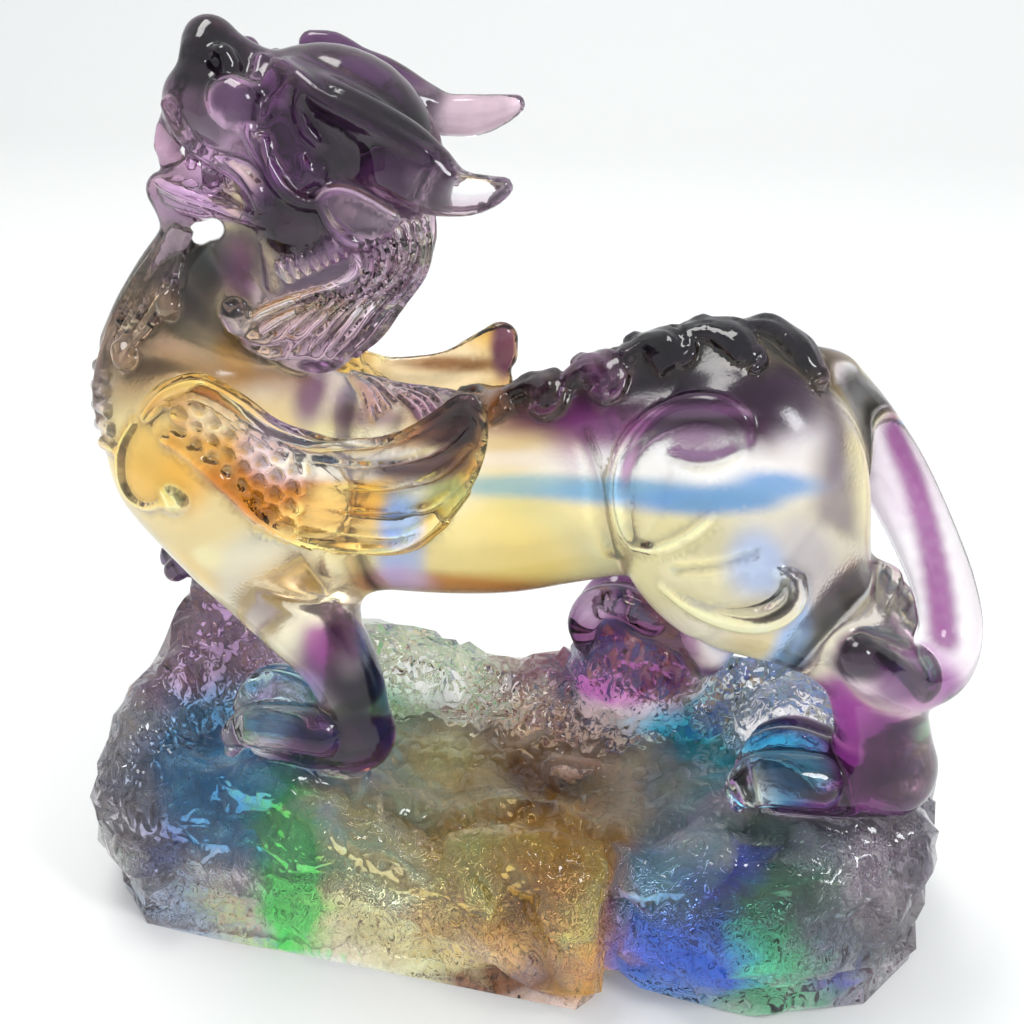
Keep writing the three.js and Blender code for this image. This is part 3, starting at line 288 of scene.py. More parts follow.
    (1, 10, 0, None, "add", [(-80, 12, 116, 12), (-76, 14, 104, 12), (-66, 16, 98, 13)]),  # chest_fill
    (3, 3, 0, None, "add", [(47, 20, 64, 7.6), (40, 19, 68, 7.6), (33, 18.5, 70, 6.6)]),  # fr_foot
    (6, 2.5, 0, None, "add", [(-66.9, -4, 177, 5), (-70, -4, 179, 4.4)]),  # chin
    (6, 3, 0, None, "add", [(-57.3, -8, 176.9, 4.4), (-52.8, -9, 176, 5), (-48.3, -10, 175.6, 7)]),  # jaw_under
    (1, 0.8, 0, None, "cut", [(-58.05, -24, 178.46, 2.3), (-73.29, 14, 168.83, 2.3)]),  # jaw_gap
    (1, 0.8, 0, None, "cut", [(-55.33, -24, 179.32, 2.2), (-70.11, 14, 169.84, 2.2)]),  # jaw_gap2
    (6, 1.2, 0, None, "add", [(-56.5, -4, 180.6, 3.6), (-63.9, -4, 182.4, 4), (-68, -4, 185.2, 3.6), (-70.3, -4, 188, 2.6)]),  # tongue
    (1, 5, 0, None, "add", [(0.1, -1, 134.7, 4.5), (8.7, -2, 137.4, 5), (19.6, -2, 141.2, 6), (30.2, -2, 145.4, 7), (40.7, -2, 147.7, 8), (53.2, -2, 148.2, 8), (61.6, -3, 146.3, 6.5)]),  # crest
    (6, 1.5, 0, None, "add", [(-67, -5, 196.9, 3.4), (-69.2, -5, 194.3, 3), (-70.5, -5, 191.3, 2.6)]),  # front_lip
]
CARVING = [  # label, blend, mirror (1 about the head, 2 about the body, 3 about the body and lower), flattening, add or cut, then (x, y, z, radius)
    (6, 1.2, 1, None, "add", [(-64.7, -15.6, 201, 1.5), (-63.3, -14.7, 196.6, 1.8), (-61, -12.4, 192.5, 2), (-55.5, -15.1, 190.5, 2.1), (-49.6, -20.4, 189.3, 2.2), (-46.1, -23.3, 186.8, 2.1), (-45.2, -23.9, 183.9, 1.7)]),  # lip_near
    (6, 1.2, 1, None, "add", [(-51.5, -16.5, 204.5, 1.2), (-48.7, -19, 201.2, 1.4), (-47.3, -21.2, 197.2, 1.4), (-44.8, -22.8, 192.7, 1.2)]),  # muzzle_fold1
    (6, 1.6, 1, None, "add", [(-51.3, -16.6, 202, 5), (-49.9, -17, 201.3, 5.2)]),  # muzzle_ball
    (5, 1.5, 1, None, "add", [(-54.3, -11.3, 209.2, 2.6), (-53.1, -11.7, 207.8, 2.2)]),  # nostril_wing
    (5, 1, 1, None, "cut", [(-55.6, -12.9, 208.6, 1.6), (-55.2, -13.3, 207.9, 1.2)]),  # nostril
    (5, 1.2, 1, None, "add", [(-47.6, -8.6, 208.6, 1.3), (-47.8, -11.2, 206.3, 1.3), (-48.2, -15.4, 204.3, 1.1)]),  # nose_wrinkle1
    (5, 1.2, 1, None, "add", [(-43.4, -13.3, 208.4, 1.3), (-44.2, -15.4, 205.7, 1.4), (-45.6, -16.6, 203, 1.1)]),  # nose_wrinkle2
    (6, 0.6, 1, None, "add", [(-58.5, -11.5, 190.4, 2.4), (-58.8, -12.2, 187.2, 2.1), (-60.2, -12, 183.8, 1.1)]),  # fang
    (6, 0.6, 1, None, "add", [(-54.4, -13, 189.2, 1.8), (-54.5, -13.2, 186.1, 1.3)]),  # tooth2
    (6, 0.6, 1, None, "add", [(-63.3, -9.5, 191.1, 1.7), (-64, -9.5, 188.5, 1.2)]),  # tooth3
    (6, 0.6, 1, None, "add", [(-68, -9, 184.1, 1.3), (-67.5, -9, 185.8, 0.9)]),  # low_tooth1
    (6, 0.6, 1, None, "add", [(-64.5, -10.6, 183.6, 1.3), (-64.1, -10.6, 185.2, 0.9)]),  # low_tooth2
    (6, 0.9, 1, None, "add", [(-70.7, -10, 184.9, 1.3), (-66.8, -13, 184.2, 1.4), (-62.1, -14.5, 183.2, 1.5), (-56.4, -15.7, 182, 1.6), (-50.8, -18.4, 180.8, 1.6), (-46, -23.5, 181.1, 1.4)]),  # lip_low
    (5, 0.9, 1, None, "add", [(-44.5, -22.2, 196, 1.2), (-43.6, -23.3, 192.1, 1.4), (-41.5, -24, 188.2, 1.6), (-38.1, -23.1, 184.9, 1.5), (-34.2, -20.5, 183.8, 1.2)]),  # lid_low
    (5, 0.8, 1, None, "add", [(-37.6, -19.7, 203.1, 0.9), (-37.7, -19.4, 200.3, 1.2), (-36.4, -20.3, 197.6, 1.3), (-34.4, -20.7, 195.5, 1)]),  # lid_up
    (5, 0.8, 1, None, "add", [(-37.3, -21.7, 192.8, 0.8), (-36.7, -21.6, 190.4, 1.1), (-33.8, -20.5, 188.3, 0.9)]),  # lid_mid
    (5, 1.5, 1, None, "add", [(-41.5, -14.9, 208.2, 1.2), (-37.4, -18.3, 206.2, 1.5), (-32.7, -21.1, 203.2, 1.6), (-26.3, -22.5, 200.6, 1.5), (-19.1, -23.4, 197.3, 1.4), (-13.3, -23.4, 194.2, 1.2)]),  # brow_line
    (5, 0.5, 1, None, "add", [(-44.3, -20.2, 199.2, 0.8), (-43.7, -18.3, 201.3, 1.1), (-42.3, -17.2, 203, 0.9)]),  # brow_hair0
    (5, 0.5, 1, None, "add", [(-43.5, -19.4, 200, 0.8), (-43, -17.5, 202.1, 1.1), (-41.2, -17.7, 203.9, 0.9)]),  # brow_hair1
    (5, 0.5, 1, None, "add", [(-42.7, -18.5, 200.8, 0.8), (-42.1, -17.3, 202.8, 1.1), (-39.9, -18.3, 204.9, 0.9)]),  # brow_hair2
    (5, 0.5, 1, None, "add", [(-41.9, -18, 201.6, 0.8), (-41, -17.8, 203.7, 1.1), (-38.8, -18.5, 206, 0.9)]),  # brow_hair3
    (5, 0.5, 1, None, "add", [(-41, -17.9, 202.3, 0.8), (-39.7, -18.4, 204.8, 1.1), (-37.8, -18.1, 206.9, 0.9)]),  # brow_hair4
    (5, 0.5, 1, None, "add", [(-38.2, -22.4, 189.4, 0.7), (-37.7, -22.3, 187.9, 0.8)]),  # cheek_tick0
    (5, 0.5, 1, None, "add", [(-37.3, -21.9, 189.6, 0.7), (-36.9, -21.7, 188.1, 0.8)]),  # cheek_tick1
    (5, 0.5, 1, None, "add", [(-36.5, -21.4, 189.9, 0.7), (-36.1, -21.2, 188.3, 0.8)]),  # cheek_tick2
    (5, 0.5, 1, None, "add", [(-35.6, -21, 190.1, 0.7), (-35.2, -20.8, 188.6, 0.8)]),  # cheek_tick3
    (5, 0.5, 1, None, "add", [(-34.7, -20.7, 190.3, 0.7), (-34.3, -20.5, 188.8, 0.8)]),  # cheek_tick4
    (5, 0.5, 1, None, "add", [(-33.8, -20.6, 190.6, 0.7), (-33.4, -20.4, 189.1, 0.8)]),  # cheek_tick5
    (8, 1, 1, ((0.1, 1, 0.25), 2.2), "add", [(-33.7, -20.7, 184.2, 2.6), (-30.6, -19.6, 182.8, 5), (-27, -18.2, 180.9, 5), (-23.8, -17, 180.4, 3.2), (-21.4, -16.3, 180.9, 1.4)]),  # ear_leaf
    (8, 0.6, 1, None, "add", [(-34, -22.2, 184.7, 1), (-32.9, -21.8, 186, 1.2), (-30.1, -21.3, 186.3, 1.3), (-27, -20.7, 185.2, 1.3), (-23.9, -19.5, 183.2, 1.2), (-20.7, -17.3, 180.7, 1)]),  # ear_rim_top
    (8, 0.6, 1, None, "add", [(-34.1, -22.1, 184.7, 1), (-33.6, -21.9, 182.1, 1.2), (-31.8, -21.3, 178.9, 1.3), (-29, -20.1, 176.4, 1.3), (-26, -18.6, 176.1, 1.3), (-23, -17.1, 178, 1.2), (-20.8, -17.2, 180.8, 1)]),  # ear_rim_low
    (8, 0.6, 1, None, "add", [(-31.3, -20.9, 183.2, 0.9), (-28.9, -20, 181.5, 1), (-26.3, -19, 180.6, 0.8)]),  # ear_fold
    (8, 0.2, 0, None, "add", [(-29.1, -18.6, 175.6, 1), (-27.9, -17.5, 171.7, 1.4), (-31.2, -18.4, 167.6, 1.4), (-39.9, -20.2, 164.9, 1.3), (-47.1, -19.1, 162, 1.2), (-51.9, -18.1, 159.4, 0.8)]),  # mane0
    (8, 0.2, 1, None, "add", [(-27.3, -18.1, 176.1, 1), (-26.3, -16.9, 172, 1.5), (-29.4, -17.8, 167.6, 1.5), (-37.5, -20, 164.6, 1.4), (-44.3, -19.5, 160.9, 1.3), (-49.5, -18.1, 157.1, 0.9)]),  # mane1
    (8, 0.2, 0, None, "add", [(-25.8, -17, 176.6, 1), (-25, -15.9, 172.3, 1.4), (-27.9, -16.8, 167.8, 1.4), (-35.2, -19.2, 164.4, 1.3), (-41.7, -18.9, 159.7, 1.2), (-47, -17.5, 155, 0.8)]),  # mane2
    (8, 0.2, 0, None, "add", [(-24.1, -16.4, 177.1, 1), (-23.4, -15.2, 172.5, 1.5), (-26.1, -16, 167.8, 1.5), (-32.9, -18.5, 164, 1.4), (-39.1, -18.4, 158.5, 1.3), (-44.6, -16.9, 153, 0.9)]),  # mane3
    (8, 0.2, 1, None, "add", [(-22.7, -15.3, 177.5, 1), (-22.1, -14, 172.8, 1.4), (-24.6, -14.7, 167.9, 1.4), (-30.8, -17.3, 163.7, 1.3), (-36.6, -17.2, 157.7, 1.2), (-42.2, -15.7, 151.6, 0.8)]),  # mane4
    (8, 0.2, 0, None, "add", [(-20.9, -14.5, 177.8, 1), (-20.5, -13, 173, 1.5), (-22.8, -13.7, 167.8, 1.5), (-28.6, -16.2, 163.1, 1.4), (-34, -16.3, 156.8, 1.3), (-39.6, -14.9, 150.6, 0.9)]),  # mane5
    (8, 0.2, 0, None, "add", [(-19.5, -13.1, 178.3, 1), (-19.2, -11.4, 173.2, 1.4), (-21.3, -11.9, 167.8, 1.4), (-26.6, -14.4, 162.6, 1.3), (-31.7, -14.5, 156.3, 1.2), (-37.2, -13.5, 150.2, 0.8)]),  # mane6
    (8, 0.2, 1, None, "add", [(-17.8, -11.7, 178.5, 1), (-17.7, -9.6, 173.1, 1.5), (-19.6, -9.8, 167.4, 1.5), (-24.4, -12.5, 161.8, 1.4), (-29.2, -12.5, 155.5, 1.3), (-34.6, -12.1, 149.9, 0.9)]),  # mane7
    (8, 0.2, 0, None, "add", [(-16.5, -9.3, 178.8, 1), (-16.8, -6.4, 172.9, 1.4), (-18.6, -5.6, 166.7, 1.4), (-22.8, -9, 160.8, 1.3), (-27.3, -8.7, 154.5, 1.2), (-32.5, -9.4, 149.6, 0.8)]),  # mane8
    (8, 0.25, 0, None, "cut", [(-28.1, -18.6, 175.8, 0.6), (-27, -17.4, 171.8, 0.8), (-30.2, -18.3, 167.6, 0.8), (-38.6, -20.4, 164.7, 0.8), (-45.7, -19.6, 161.4, 0.7), (-50.7, -18.3, 158.2, 0.5)]),  # mane_groove0
    (8, 0.25, 0, None, "cut", [(-26.5, -17.8, 176.4, 0.6), (-25.5, -16.6, 172.1, 0.8), (-28.6, -17.5, 167.7, 0.8), (-36.3, -19.8, 164.4, 0.8), (-43, -19.5, 160.2, 0.7), (-48.3, -18.1, 156, 0.5)]),  # mane_groove1
    (8, 0.25, 0, None, "cut", [(-24.8, -16.9, 176.8, 0.6), (-24.1, -15.8, 172.4, 0.8), (-26.9, -16.6, 167.8, 0.8), (-34, -19.1, 164.1, 0.8), (-40.3, -18.9, 159, 0.7), (-45.8, -17.5, 153.9, 0.5)]),  # mane_groove2
    (8, 0.25, 0, None, "cut", [(-23.3, -16, 177.2, 0.6), (-22.6, -14.8, 172.6, 0.8), (-25.2, -15.6, 167.8, 0.8), (-31.8, -18.1, 163.8, 0.8), (-37.8, -18.1, 158, 0.7), (-43.4, -16.5, 152.1, 0.5)]),  # mane_groove3
    (8, 0.25, 0, None, "cut", [(-21.7, -15.1, 177.6, 0.6), (-21.1, -13.7, 172.9, 0.8), (-23.5, -14.4, 167.8, 0.8), (-29.6, -17, 163.4, 0.8), (-35.3, -17, 157.1, 0.7), (-40.9, -15.5, 150.9, 0.5)]),  # mane_groove4
    (8, 0.25, 0, None, "cut", [(-20.1, -14, 178, 0.6), (-19.7, -12.4, 173, 0.8), (-21.9, -13, 167.7, 0.8), (-27.5, -15.5, 162.8, 0.8), (-32.8, -15.6, 156.4, 0.7), (-38.3, -14.4, 150.3, 0.5)]),  # mane_groove5
    (8, 0.25, 0, None, "cut", [(-18.5, -12.6, 178.3, 0.6), (-18.3, -10.7, 173.1, 0.8), (-20.3, -11.1, 167.6, 0.8), (-25.4, -13.7, 162.2, 0.8), (-30.3, -13.8, 155.8, 0.7), (-35.8, -13.1, 149.9, 0.5)]),  # mane_groove6
    (8, 0.25, 0, None, "cut", [(-16.9, -10.8, 178.6, 0.6), (-17, -8.4, 173.1, 0.8), (-18.8, -8.3, 167.1, 0.8), (-23.4, -11.1, 161.3, 0.8), (-28, -11.1, 155, 0.7), (-33.4, -11.1, 149.6, 0.5)]),  # mane_groove7
    (8, 0.2, 0, None, "add", [(-43.8, -20.9, 172, 0.8), (-43.4, -20.7, 170.4, 1.1), (-42.5, -20.6, 168.7, 0.8)]),  # fringe0
    (8, 0.2, 0, None, "add", [(-41.5, -21.5, 172.9, 0.8), (-41.2, -21.1, 171.4, 1.1), (-40.4, -20.9, 169.6, 0.8)]),  # fringe1
    (8, 0.2, 0, None, "add", [(-39.3, -21.8, 173.9, 0.8), (-39.1, -21.2, 172.3, 1.1), (-38.3, -20.9, 170.5, 0.8)]),  # fringe2
    (8, 0.2, 0, None, "add", [(-37.3, -21.7, 174.8, 0.8), (-37.1, -21.1, 173.2, 1.1), (-36.4, -20.7, 171.4, 0.8)]),  # fringe3
    (8, 0.2, 0, None, "add", [(-35.5, -21.2, 175.7, 0.8), (-35.2, -20.8, 174, 1.1), (-34.5, -20.4, 172.2, 0.8)]),  # fringe4
    (8, 0.2, 0, None, "add", [(-33.8, -20.6, 176.5, 0.8), (-33.4, -20.3, 174.8, 1.1), (-32.7, -19.8, 172.9, 0.8)]),  # fringe5
    (8, 0.2, 0, None, "add", [(-32.1, -20.1, 177.2, 0.8), (-31.7, -19.7, 175.5, 1.1), (-30.9, -19.2, 173.7, 0.8)]),  # fringe6
    (8, 0.2, 0, None, "add", [(-30.3, -19.4, 178, 0.8), (-29.9, -19.1, 176.3, 1.1), (-29.1, -18.5, 174.4, 0.8)]),  # fringe7
    (8, 0.8, 1, None, "add", [(-55.1, -18.3, 160.6, 3), (-54.9, -18, 158.7, 2.6)]),  # curl_ball
    (8, 0.5, 1, None, "add", [(-54.9, -17.1, 156.3, 1), (-50.6, -16.5, 154.6, 1.4), (-44, -17.7, 156.2, 1.4), (-38.1, -17.1, 157.1, 1)]),  # curl0
    (8, 0.5, 1, None, "add", [(-54, -16.2, 153.8, 1), (-49.8, -14.4, 151, 1.4), (-42.8, -15.7, 152, 1.4), (-36.8, -13.7, 151.1, 1)]),  # curl1
    (9, 0.15, 0, None, "add", [(-68.9, -10.3, 176.1, 0.8), (-73.8, -10, 170.7, 0.9), (-79.8, -9.9, 163.6, 1), (-84.6, -9.7, 156.8, 0.9), (-88.2, -10.2, 150.1, 0.8)]),  # beard0
    (9, 0.15, 0, None, "add", [(-68.3, -10.6, 175.8, 0.8), (-72.4, -10.7, 170.6, 0.9), (-77.7, -11, 163.5, 1), (-82.6, -11.3, 156.9, 0.9), (-86.6, -11.9, 150.6, 0.8)]),  # beard1
    (9, 0.15, 0, None, "add", [(-67.6, -10.2, 175.5, 0.8), (-71, -10.4, 170.3, 0.9), (-75.6, -11.2, 163.4, 1), (-80.3, -12.6, 157, 0.9), (-84.5, -13.4, 150.9, 0.8)]),  # beard2
    (9, 0.15, 0, None, "add", [(-66.8, -10.4, 175.1, 0.8), (-69.7, -10.6, 170.1, 0.9), (-73.8, -12.1, 163.8, 1), (-78.1, -14.6, 157.3, 0.9), (-82.9, -15.1, 151.4, 0.8)]),  # beard3
    (9, 0.15, 0, None, "add", [(-66.2, -9.4, 174.8, 0.8), (-68.7, -10, 170, 0.9), (-71.3, -13.4, 163.8, 1), (-75.8, -15.7, 157.1, 0.9), (-81, -16.1, 151.4, 0.8)]),  # beard4
    (9, 0.15, 0, None, "add", [(-67.4, -6.1, 174.1, 0.8), (-67.9, -10.3, 170.4, 0.9), (-69.2, -15, 164, 1), (-74.1, -17, 157, 0.9), (-79.6, -17.3, 151.7, 0.8)]),  # beard5
    (9, 0.8, 0, None, "add", [(-70.3, -15.6, 161.7, 2.6), (-69.7, -16.4, 160.6, 2.4)]),  # beard_ball1
    (9, 0.8, 0, None, "add", [(-81, -16.6, 150.9, 2.8), (-80, -18.3, 149.8, 2.8)]),  # beard_ball2
    (9, 0.6, 0, None, "add", [(-85.5, -10.1, 153.3, 1.6), (-88.3, -11.6, 146.4, 1.7), (-89.6, -13.6, 140.1, 1.5), (-88.7, -16.5, 134.6, 1.2)]),  # beard_tail
    (9, 0.8, 0, None, "add", [(-92, -7, 143.7, 1.7), (-86.8, -14.3, 144.6, 1.3)]),  # throat_scute0
    (9, 0.8, 0, None, "add", [(-90.7, -11.5, 140.9, 1.7), (-86.1, -17.1, 141.4, 1.3)]),  # throat_scute1
    (9, 0.8, 0, None, "add", [(-90.7, -12.8, 136.8, 1.7), (-84.2, -21.5, 138.8, 1.3)]),  # throat_scute2
    (9, 0.8, 0, None, "add", [(-90.1, -14.2, 132.9, 1.7), (-82.7, -24.5, 135.8, 1.3)]),  # throat_scute3
    (9, 0.8, 0, None, "add", [(-85.5, -22.5, 132.1, 1.7), (-81.1, -27, 132.5, 1.3)]),  # throat_scute4
    (1, 1.2, 1, None, "add", [(-46.6, -21.2, 177.5, 1), (-46.1, -19.4, 171.9, 1.2), (-46.3, -19, 167.1, 0.9)]),  # neck_fold1
    (2, 0.9, 0, None, "add", [(-76.1, -27.4, 138.9, 0.8), (-78.7, -28, 134.9, 1), (-79.9, -28.5, 130.4, 1.1), (-79.7, -29.2, 125.6, 1.1), (-77.3, -30.6, 122.6, 1), (-73.5, -32.5, 122.1, 0.9), (-69.5, -33.9, 124, 0.8)]),  # roundel
    (2, 1.2, 0, None, "add", [(-67.6, -33.4, 126.7, 1.6), (-66.1, -33.6, 125.2, 2.6), (-67.2, -33.4, 123.1, 1.6)]),  # roundel_curl
    (1, 0.8, 2, None, "add", [(50, -24.2, 140.5, 1.2), (48.6, -22.1, 143.8, 2.3), (43.9, -20, 145.5, 2.9), (38.3, -18.3, 144.7, 3), (32.9, -17.8, 141.9, 2.9), (28.5, -19.4, 138.6, 2.6), (25.9, -21.2, 134.4, 2.3), (24.9, -22.9, 129.3, 2), (25.2, -23.8, 123.6, 1.8), (26.7, -23.8, 118.3, 1.5), (28.9, -23.9, 115.2, 1)]),  # comma
    (1, 0.7, 0, None, "add", [(28.8, -24.2, 115.2, 1), (33.4, -27.8, 116.7, 1.1), (38.6, -30.8, 121, 1.1), (42.2, -31.3, 124.5, 1), (44.2, -31.1, 126.7, 0.7)]),  # comma_tail
    (1, 1.2, 0, None, "cut", [(48.3, -25.9, 138.6, 0.8), (44.1, -26.4, 136.6, 1.1), (39.8, -25.6, 135.6, 1.2), (35.4, -23.6, 135.6, 0.8)]),  # comma_in
    (1, 0.9, 0, None, "add", [(35.3, -28.8, 108.5, 0.9), (41.1, -33.1, 107.4, 2), (48.2, -35.9, 106.4, 2.6), (55.7, -36.6, 107.1, 3), (60.4, -36, 110.8, 3), (60.8, -35.2, 115, 2.4), (57.8, -35.3, 117.6, 1.3)]),  # flame
    (1, 2, 2, None, "cut", [(16.7, -17.2, 136.8, 0.9), (18.9, -20.9, 132.6, 1.2), (20.7, -23.4, 126.8, 1.4), (22.1, -23.9, 119.6, 1.5), (24, -22.3, 112, 1.3)]),  # thigh_crease
    (1, 1.2, 0, None, "cut", [(37.5, -31.8, 114.2, 0.7), (46, -35.5, 117.9, 0.9), (52.9, -35.5, 121.1, 0.8)]),  # thigh_crease2
    (2, 1.8, 2, None, "cut", [(-50.1, -33.5, 104, 0.8), (-44.5, -31.8, 100.9, 1.1), (-38.6, -27.7, 98, 1), (-35.4, -23.9, 99.4, 0.8)]),  # shoulder_crease
    (3, 0.8, 0, None, "add", [(-41.2, -28.5, 63.1, 5.4), (-49.8, -29.3, 64.3, 5.2), (-57.8, -29.3, 63.9, 4.9), (-62, -29, 61.2, 3.6)]),  # nf_toe1
    (3, 0.8, 0, None, "add", [(-44.1, -21, 65.1, 5), (-51.9, -21, 68.2, 5), (-57.3, -21.5, 68.9, 4.6), (-61.3, -22, 64.8, 3.4)]),  # nf_toe2
    (3, 0.8, 0, None, "add", [(-45.2, -14, 62.3, 4.8), (-52.6, -13.5, 65.4, 4.7), (-58.7, -13.5, 65.5, 4.2), (-62.7, -13.5, 61.6, 3)]),  # nf_toe3
    (3, 1.2, 0, None, "add", [(-61.7, -29, 59.5, 2.6), (-63.5, -29, 56.7, 2)]),  # nf_claw0
    (3, 1.2, 0, None, "add", [(-60.5, -22.5, 63.2, 2.6), (-62.3, -22.5, 60.4, 2)]),  # nf_claw1
    (3, 1.2, 0, None, "add", [(-61.7, -14, 59.6, 2.6), (-63.5, -14, 56.7, 2)]),  # nf_claw2
    (3, 0.8, 0, None, "add", [(72.3, -27, 58.9, 6.2), (65.4, -28, 59.9, 6.2), (59.3, -28.3, 58.9, 5.9), (56.2, -28, 56, 4)]),  # nr_toe1
    (3, 0.8, 0, None, "add", [(73.6, -19.5, 59.8, 5.6), (67.1, -19.5, 61.5, 5.6), (61.5, -19.8, 60, 5.2), (58.4, -20, 56.1, 3.6)]),  # nr_toe2
    (3, 0.8, 0, None, "add", [(75.1, -12, 57.9, 5.2), (69.1, -12, 59.9, 5), (63.9, -12, 58.3, 4.6), (60.9, -12, 54.4, 3.2)]),  # nr_toe3
    (3, 1.2, 0, None, "add", [(56.8, -28, 54.6, 3), (55.7, -28, 51.9, 2.2)]),  # nr_claw0
    (3, 1.2, 0, None, "add", [(59, -20.5, 55.1, 3), (57.8, -20.5, 52.3, 2.2)]),  # nr_claw1
    (3, 0.8, 0, None, "add", [(33.6, 14, 74.5, 4.6), (26.4, 13.5, 78.4, 4.6), (19.8, 13.5, 77.3, 4.4), (16.7, 13.5, 71.7, 4), (17.1, 13.5, 65.6, 2.6)]),  # fr_toe1
    (3, 0.8, 0, None, "add", [(34.8, 20.5, 74.8, 4.6), (28.7, 20.5, 78, 4.5), (23, 20.5, 78.2, 4.4), (19, 20.5, 74.2, 3.8), (17.6, 20.5, 69.6, 2.6)]),  # fr_toe2
    (3, 0.8, 0, None, "add", [(36.1, 27, 72.8, 4.4), (30.7, 27, 76.4, 4.3), (25.9, 27, 76.4, 4), (21.8, 27, 73, 3.4)]),  # fr_toe3
    (3, 0.8, 0, None, "add", [(-83.5, 15.5, 80.1, 4), (-87.9, 15, 81.3, 3.9), (-91.5, 15, 78.7, 3.2)]),  # ff_toe1
    (3, 0.8, 0, None, "add", [(-85.4, 21, 81.2, 4), (-90.5, 21, 82.7, 3.7), (-94.7, 21, 80.6, 3), (-96.7, 21, 78, 1.6)]),  # ff_toe2
    (3, 0.8, 0, None, "add", [(-86.6, 26.5, 81.2, 3.8), (-90.9, 26.5, 82.5, 3.5), (-94.6, 26.5, 80.4, 2.8)]),  # ff_toe3
    (10, 0.5, 0, None, "add", [(-73.1, -28.3, 140.7, 1), (-69.6, -27.9, 144.6, 1.3), (-65.7, -28.5, 147.2, 1.4), (-60.1, -29.1, 148.8, 1.4), (-52.8, -29.8, 145.5, 1.5), (-45.2, -30.7, 140.6, 1.5), (-37.1, -30.7, 137.4, 1.4), (-28.9, -30.2, 137.6, 1.3), (-19.1, -30.5, 140.1, 1.3), (-11.7, -30.2, 144.7, 1.3), (-7.3, -29.1, 148, 1.3), (-4.7, -29, 148.3, 1.3)]),  # wing_bead_top
    (10, 0.4, 0, None, "add", [(-68, -27.6, 143.6, 0.8), (-63.7, -28.1, 145.4, 0.9), (-59.5, -29.3, 146, 0.9), (-52.9, -30.2, 142.3, 1), (-46, -30.9, 137.9, 1), (-38.7, -30.6, 134.8, 0.8)]),  # wing_bead_top2
    (10, 0.5, 0, None, "add", [(-4.7, -29, 148.3, 1.3), (-2.6, -29.3, 144.5, 1.3), (-3, -27.6, 137.4, 1.3), (-5.5, -27.8, 129.9, 1.2), (-9.5, -28.1, 123.8, 1.2), (-15, -28, 117.5, 1.1), (-21.7, -27.4, 113.2, 1.1), (-28.3, -27.3, 112.2, 1.1), (-36.3, -27.1, 112.3, 1), (-42.7, -27.4, 113.3, 0.9)]),  # wing_bead_end
    (10, 0.35, 0, None, "add", [(-37.5, -30.3, 134.3, 0.6), (-29.9, -29.4, 133.2, 0.9), (-19.2, -30.4, 134.4, 0.9), (-10.7, -30.7, 138.6, 0.9), (-5.4, -30.1, 143.5, 0.6)]),  # wing_bead_f0
    (10, 0.35, 0, None, "add", [(-39, -31.5, 130.4, 0.6), (-30.3, -28.9, 127.7, 0.9), (-19.7, -29.2, 127.9, 0.9), (-11.1, -29.6, 132.3, 0.9), (-4.8, -29, 138.2, 0.6)]),  # wing_bead_f1
    (10, 0.35, 0, None, "add", [(-40.4, -31.8, 125.3, 0.6), (-30.8, -28.4, 122.1, 0.9), (-20.1, -28.6, 122.1, 0.9), (-11.5, -28.6, 125.5, 0.9), (-6.3, -28.4, 131.6, 0.6)]),  # wing_bead_f2
    (10, 0.35, 0, None, "add", [(-42.2, -30.3, 119.7, 0.6), (-32.5, -27.6, 116.5, 0.9), (-21.5, -28.1, 116.5, 0.9), (-14.3, -28.3, 120, 0.9), (-9.4, -28.2, 125.4, 0.6)]),  # wing_bead_f3
    (10, 1.6, 3, None, "cut", [(-33.9, -30.7, 135.6, 0.7), (-24.3, -31.5, 135.8, 1.5), (-14.8, -32, 140.1, 0.7)]),  # wing_groove0
    (10, 1.6, 3, None, "cut", [(-33.6, -30.5, 131.6, 0.7), (-24.8, -30.6, 130.8, 1.5), (-14, -31, 134.6, 0.7)]),  # wing_groove1
    (10, 1.6, 3, None, "cut", [(-33.7, -31.6, 127.2, 0.7), (-25.2, -29.8, 125.4, 1.5), (-14.4, -29.9, 128.6, 0.7)]),  # wing_groove2
    (10, 1.6, 3, None, "cut", [(-35.1, -31.4, 121.7, 0.7), (-26.7, -29.2, 119.7, 1.5), (-16.9, -29.4, 122.2, 0.7)]),  # wing_groove3
    (10, 0.4, 0, None, "add", [(-68.6, -30.9, 137.2, 0.9), (-64.1, -32, 135.2, 1.1), (-60, -32.7, 132.1, 1.2), (-53.9, -31.9, 125.3, 1.2), (-51.1, -31, 120.9, 1.2), (-45.9, -28.1, 115.1, 1.2), (-40.2, -27.1, 112, 1)]),  # wing_bead_low
    (11, 0.15, 0, None, "add", [(-37.5, 3.7, 139.8, 0.6), (-32, -4.3, 138.2, 0.8), (-29.4, -10.6, 135.6, 0.6)]),  # tuftA_0
    (11, 0.15, 0, None, "add", [(-37.7, 5.1, 139.9, 0.6), (-31.8, -2.3, 138.8, 0.8), (-28, -8.7, 136.5, 0.6)]),  # tuftA_1
    (11, 0.15, 0, None, "add", [(-38.2, 6.8, 139.2, 0.6), (-31.7, 0.3, 138.5, 0.8), (-26.8, -6.3, 136.7, 0.6)]),  # tuftA_2
    (11, 0.15, 0, None, "add", [(-39, 9.8, 137.9, 0.6), (-31.8, 3.9, 138.5, 0.8), (-25.5, -3.7, 137.4, 0.6)]),  # tuftA_3
    (11, 0.15, 0, None, "add", [(-39, 9.9, 138.2, 0.6), (-32.7, 10, 136.5, 0.8), (-24.4, -0.3, 137.2, 0.6)]),  # tuftA_4
    (11, 0.15, 0, None, "add", [(-38.9, 10, 138.4, 0.6), (-32.2, 9.7, 136.7, 0.8), (-23.6, 5, 136.9, 0.6)]),  # tuftA_5
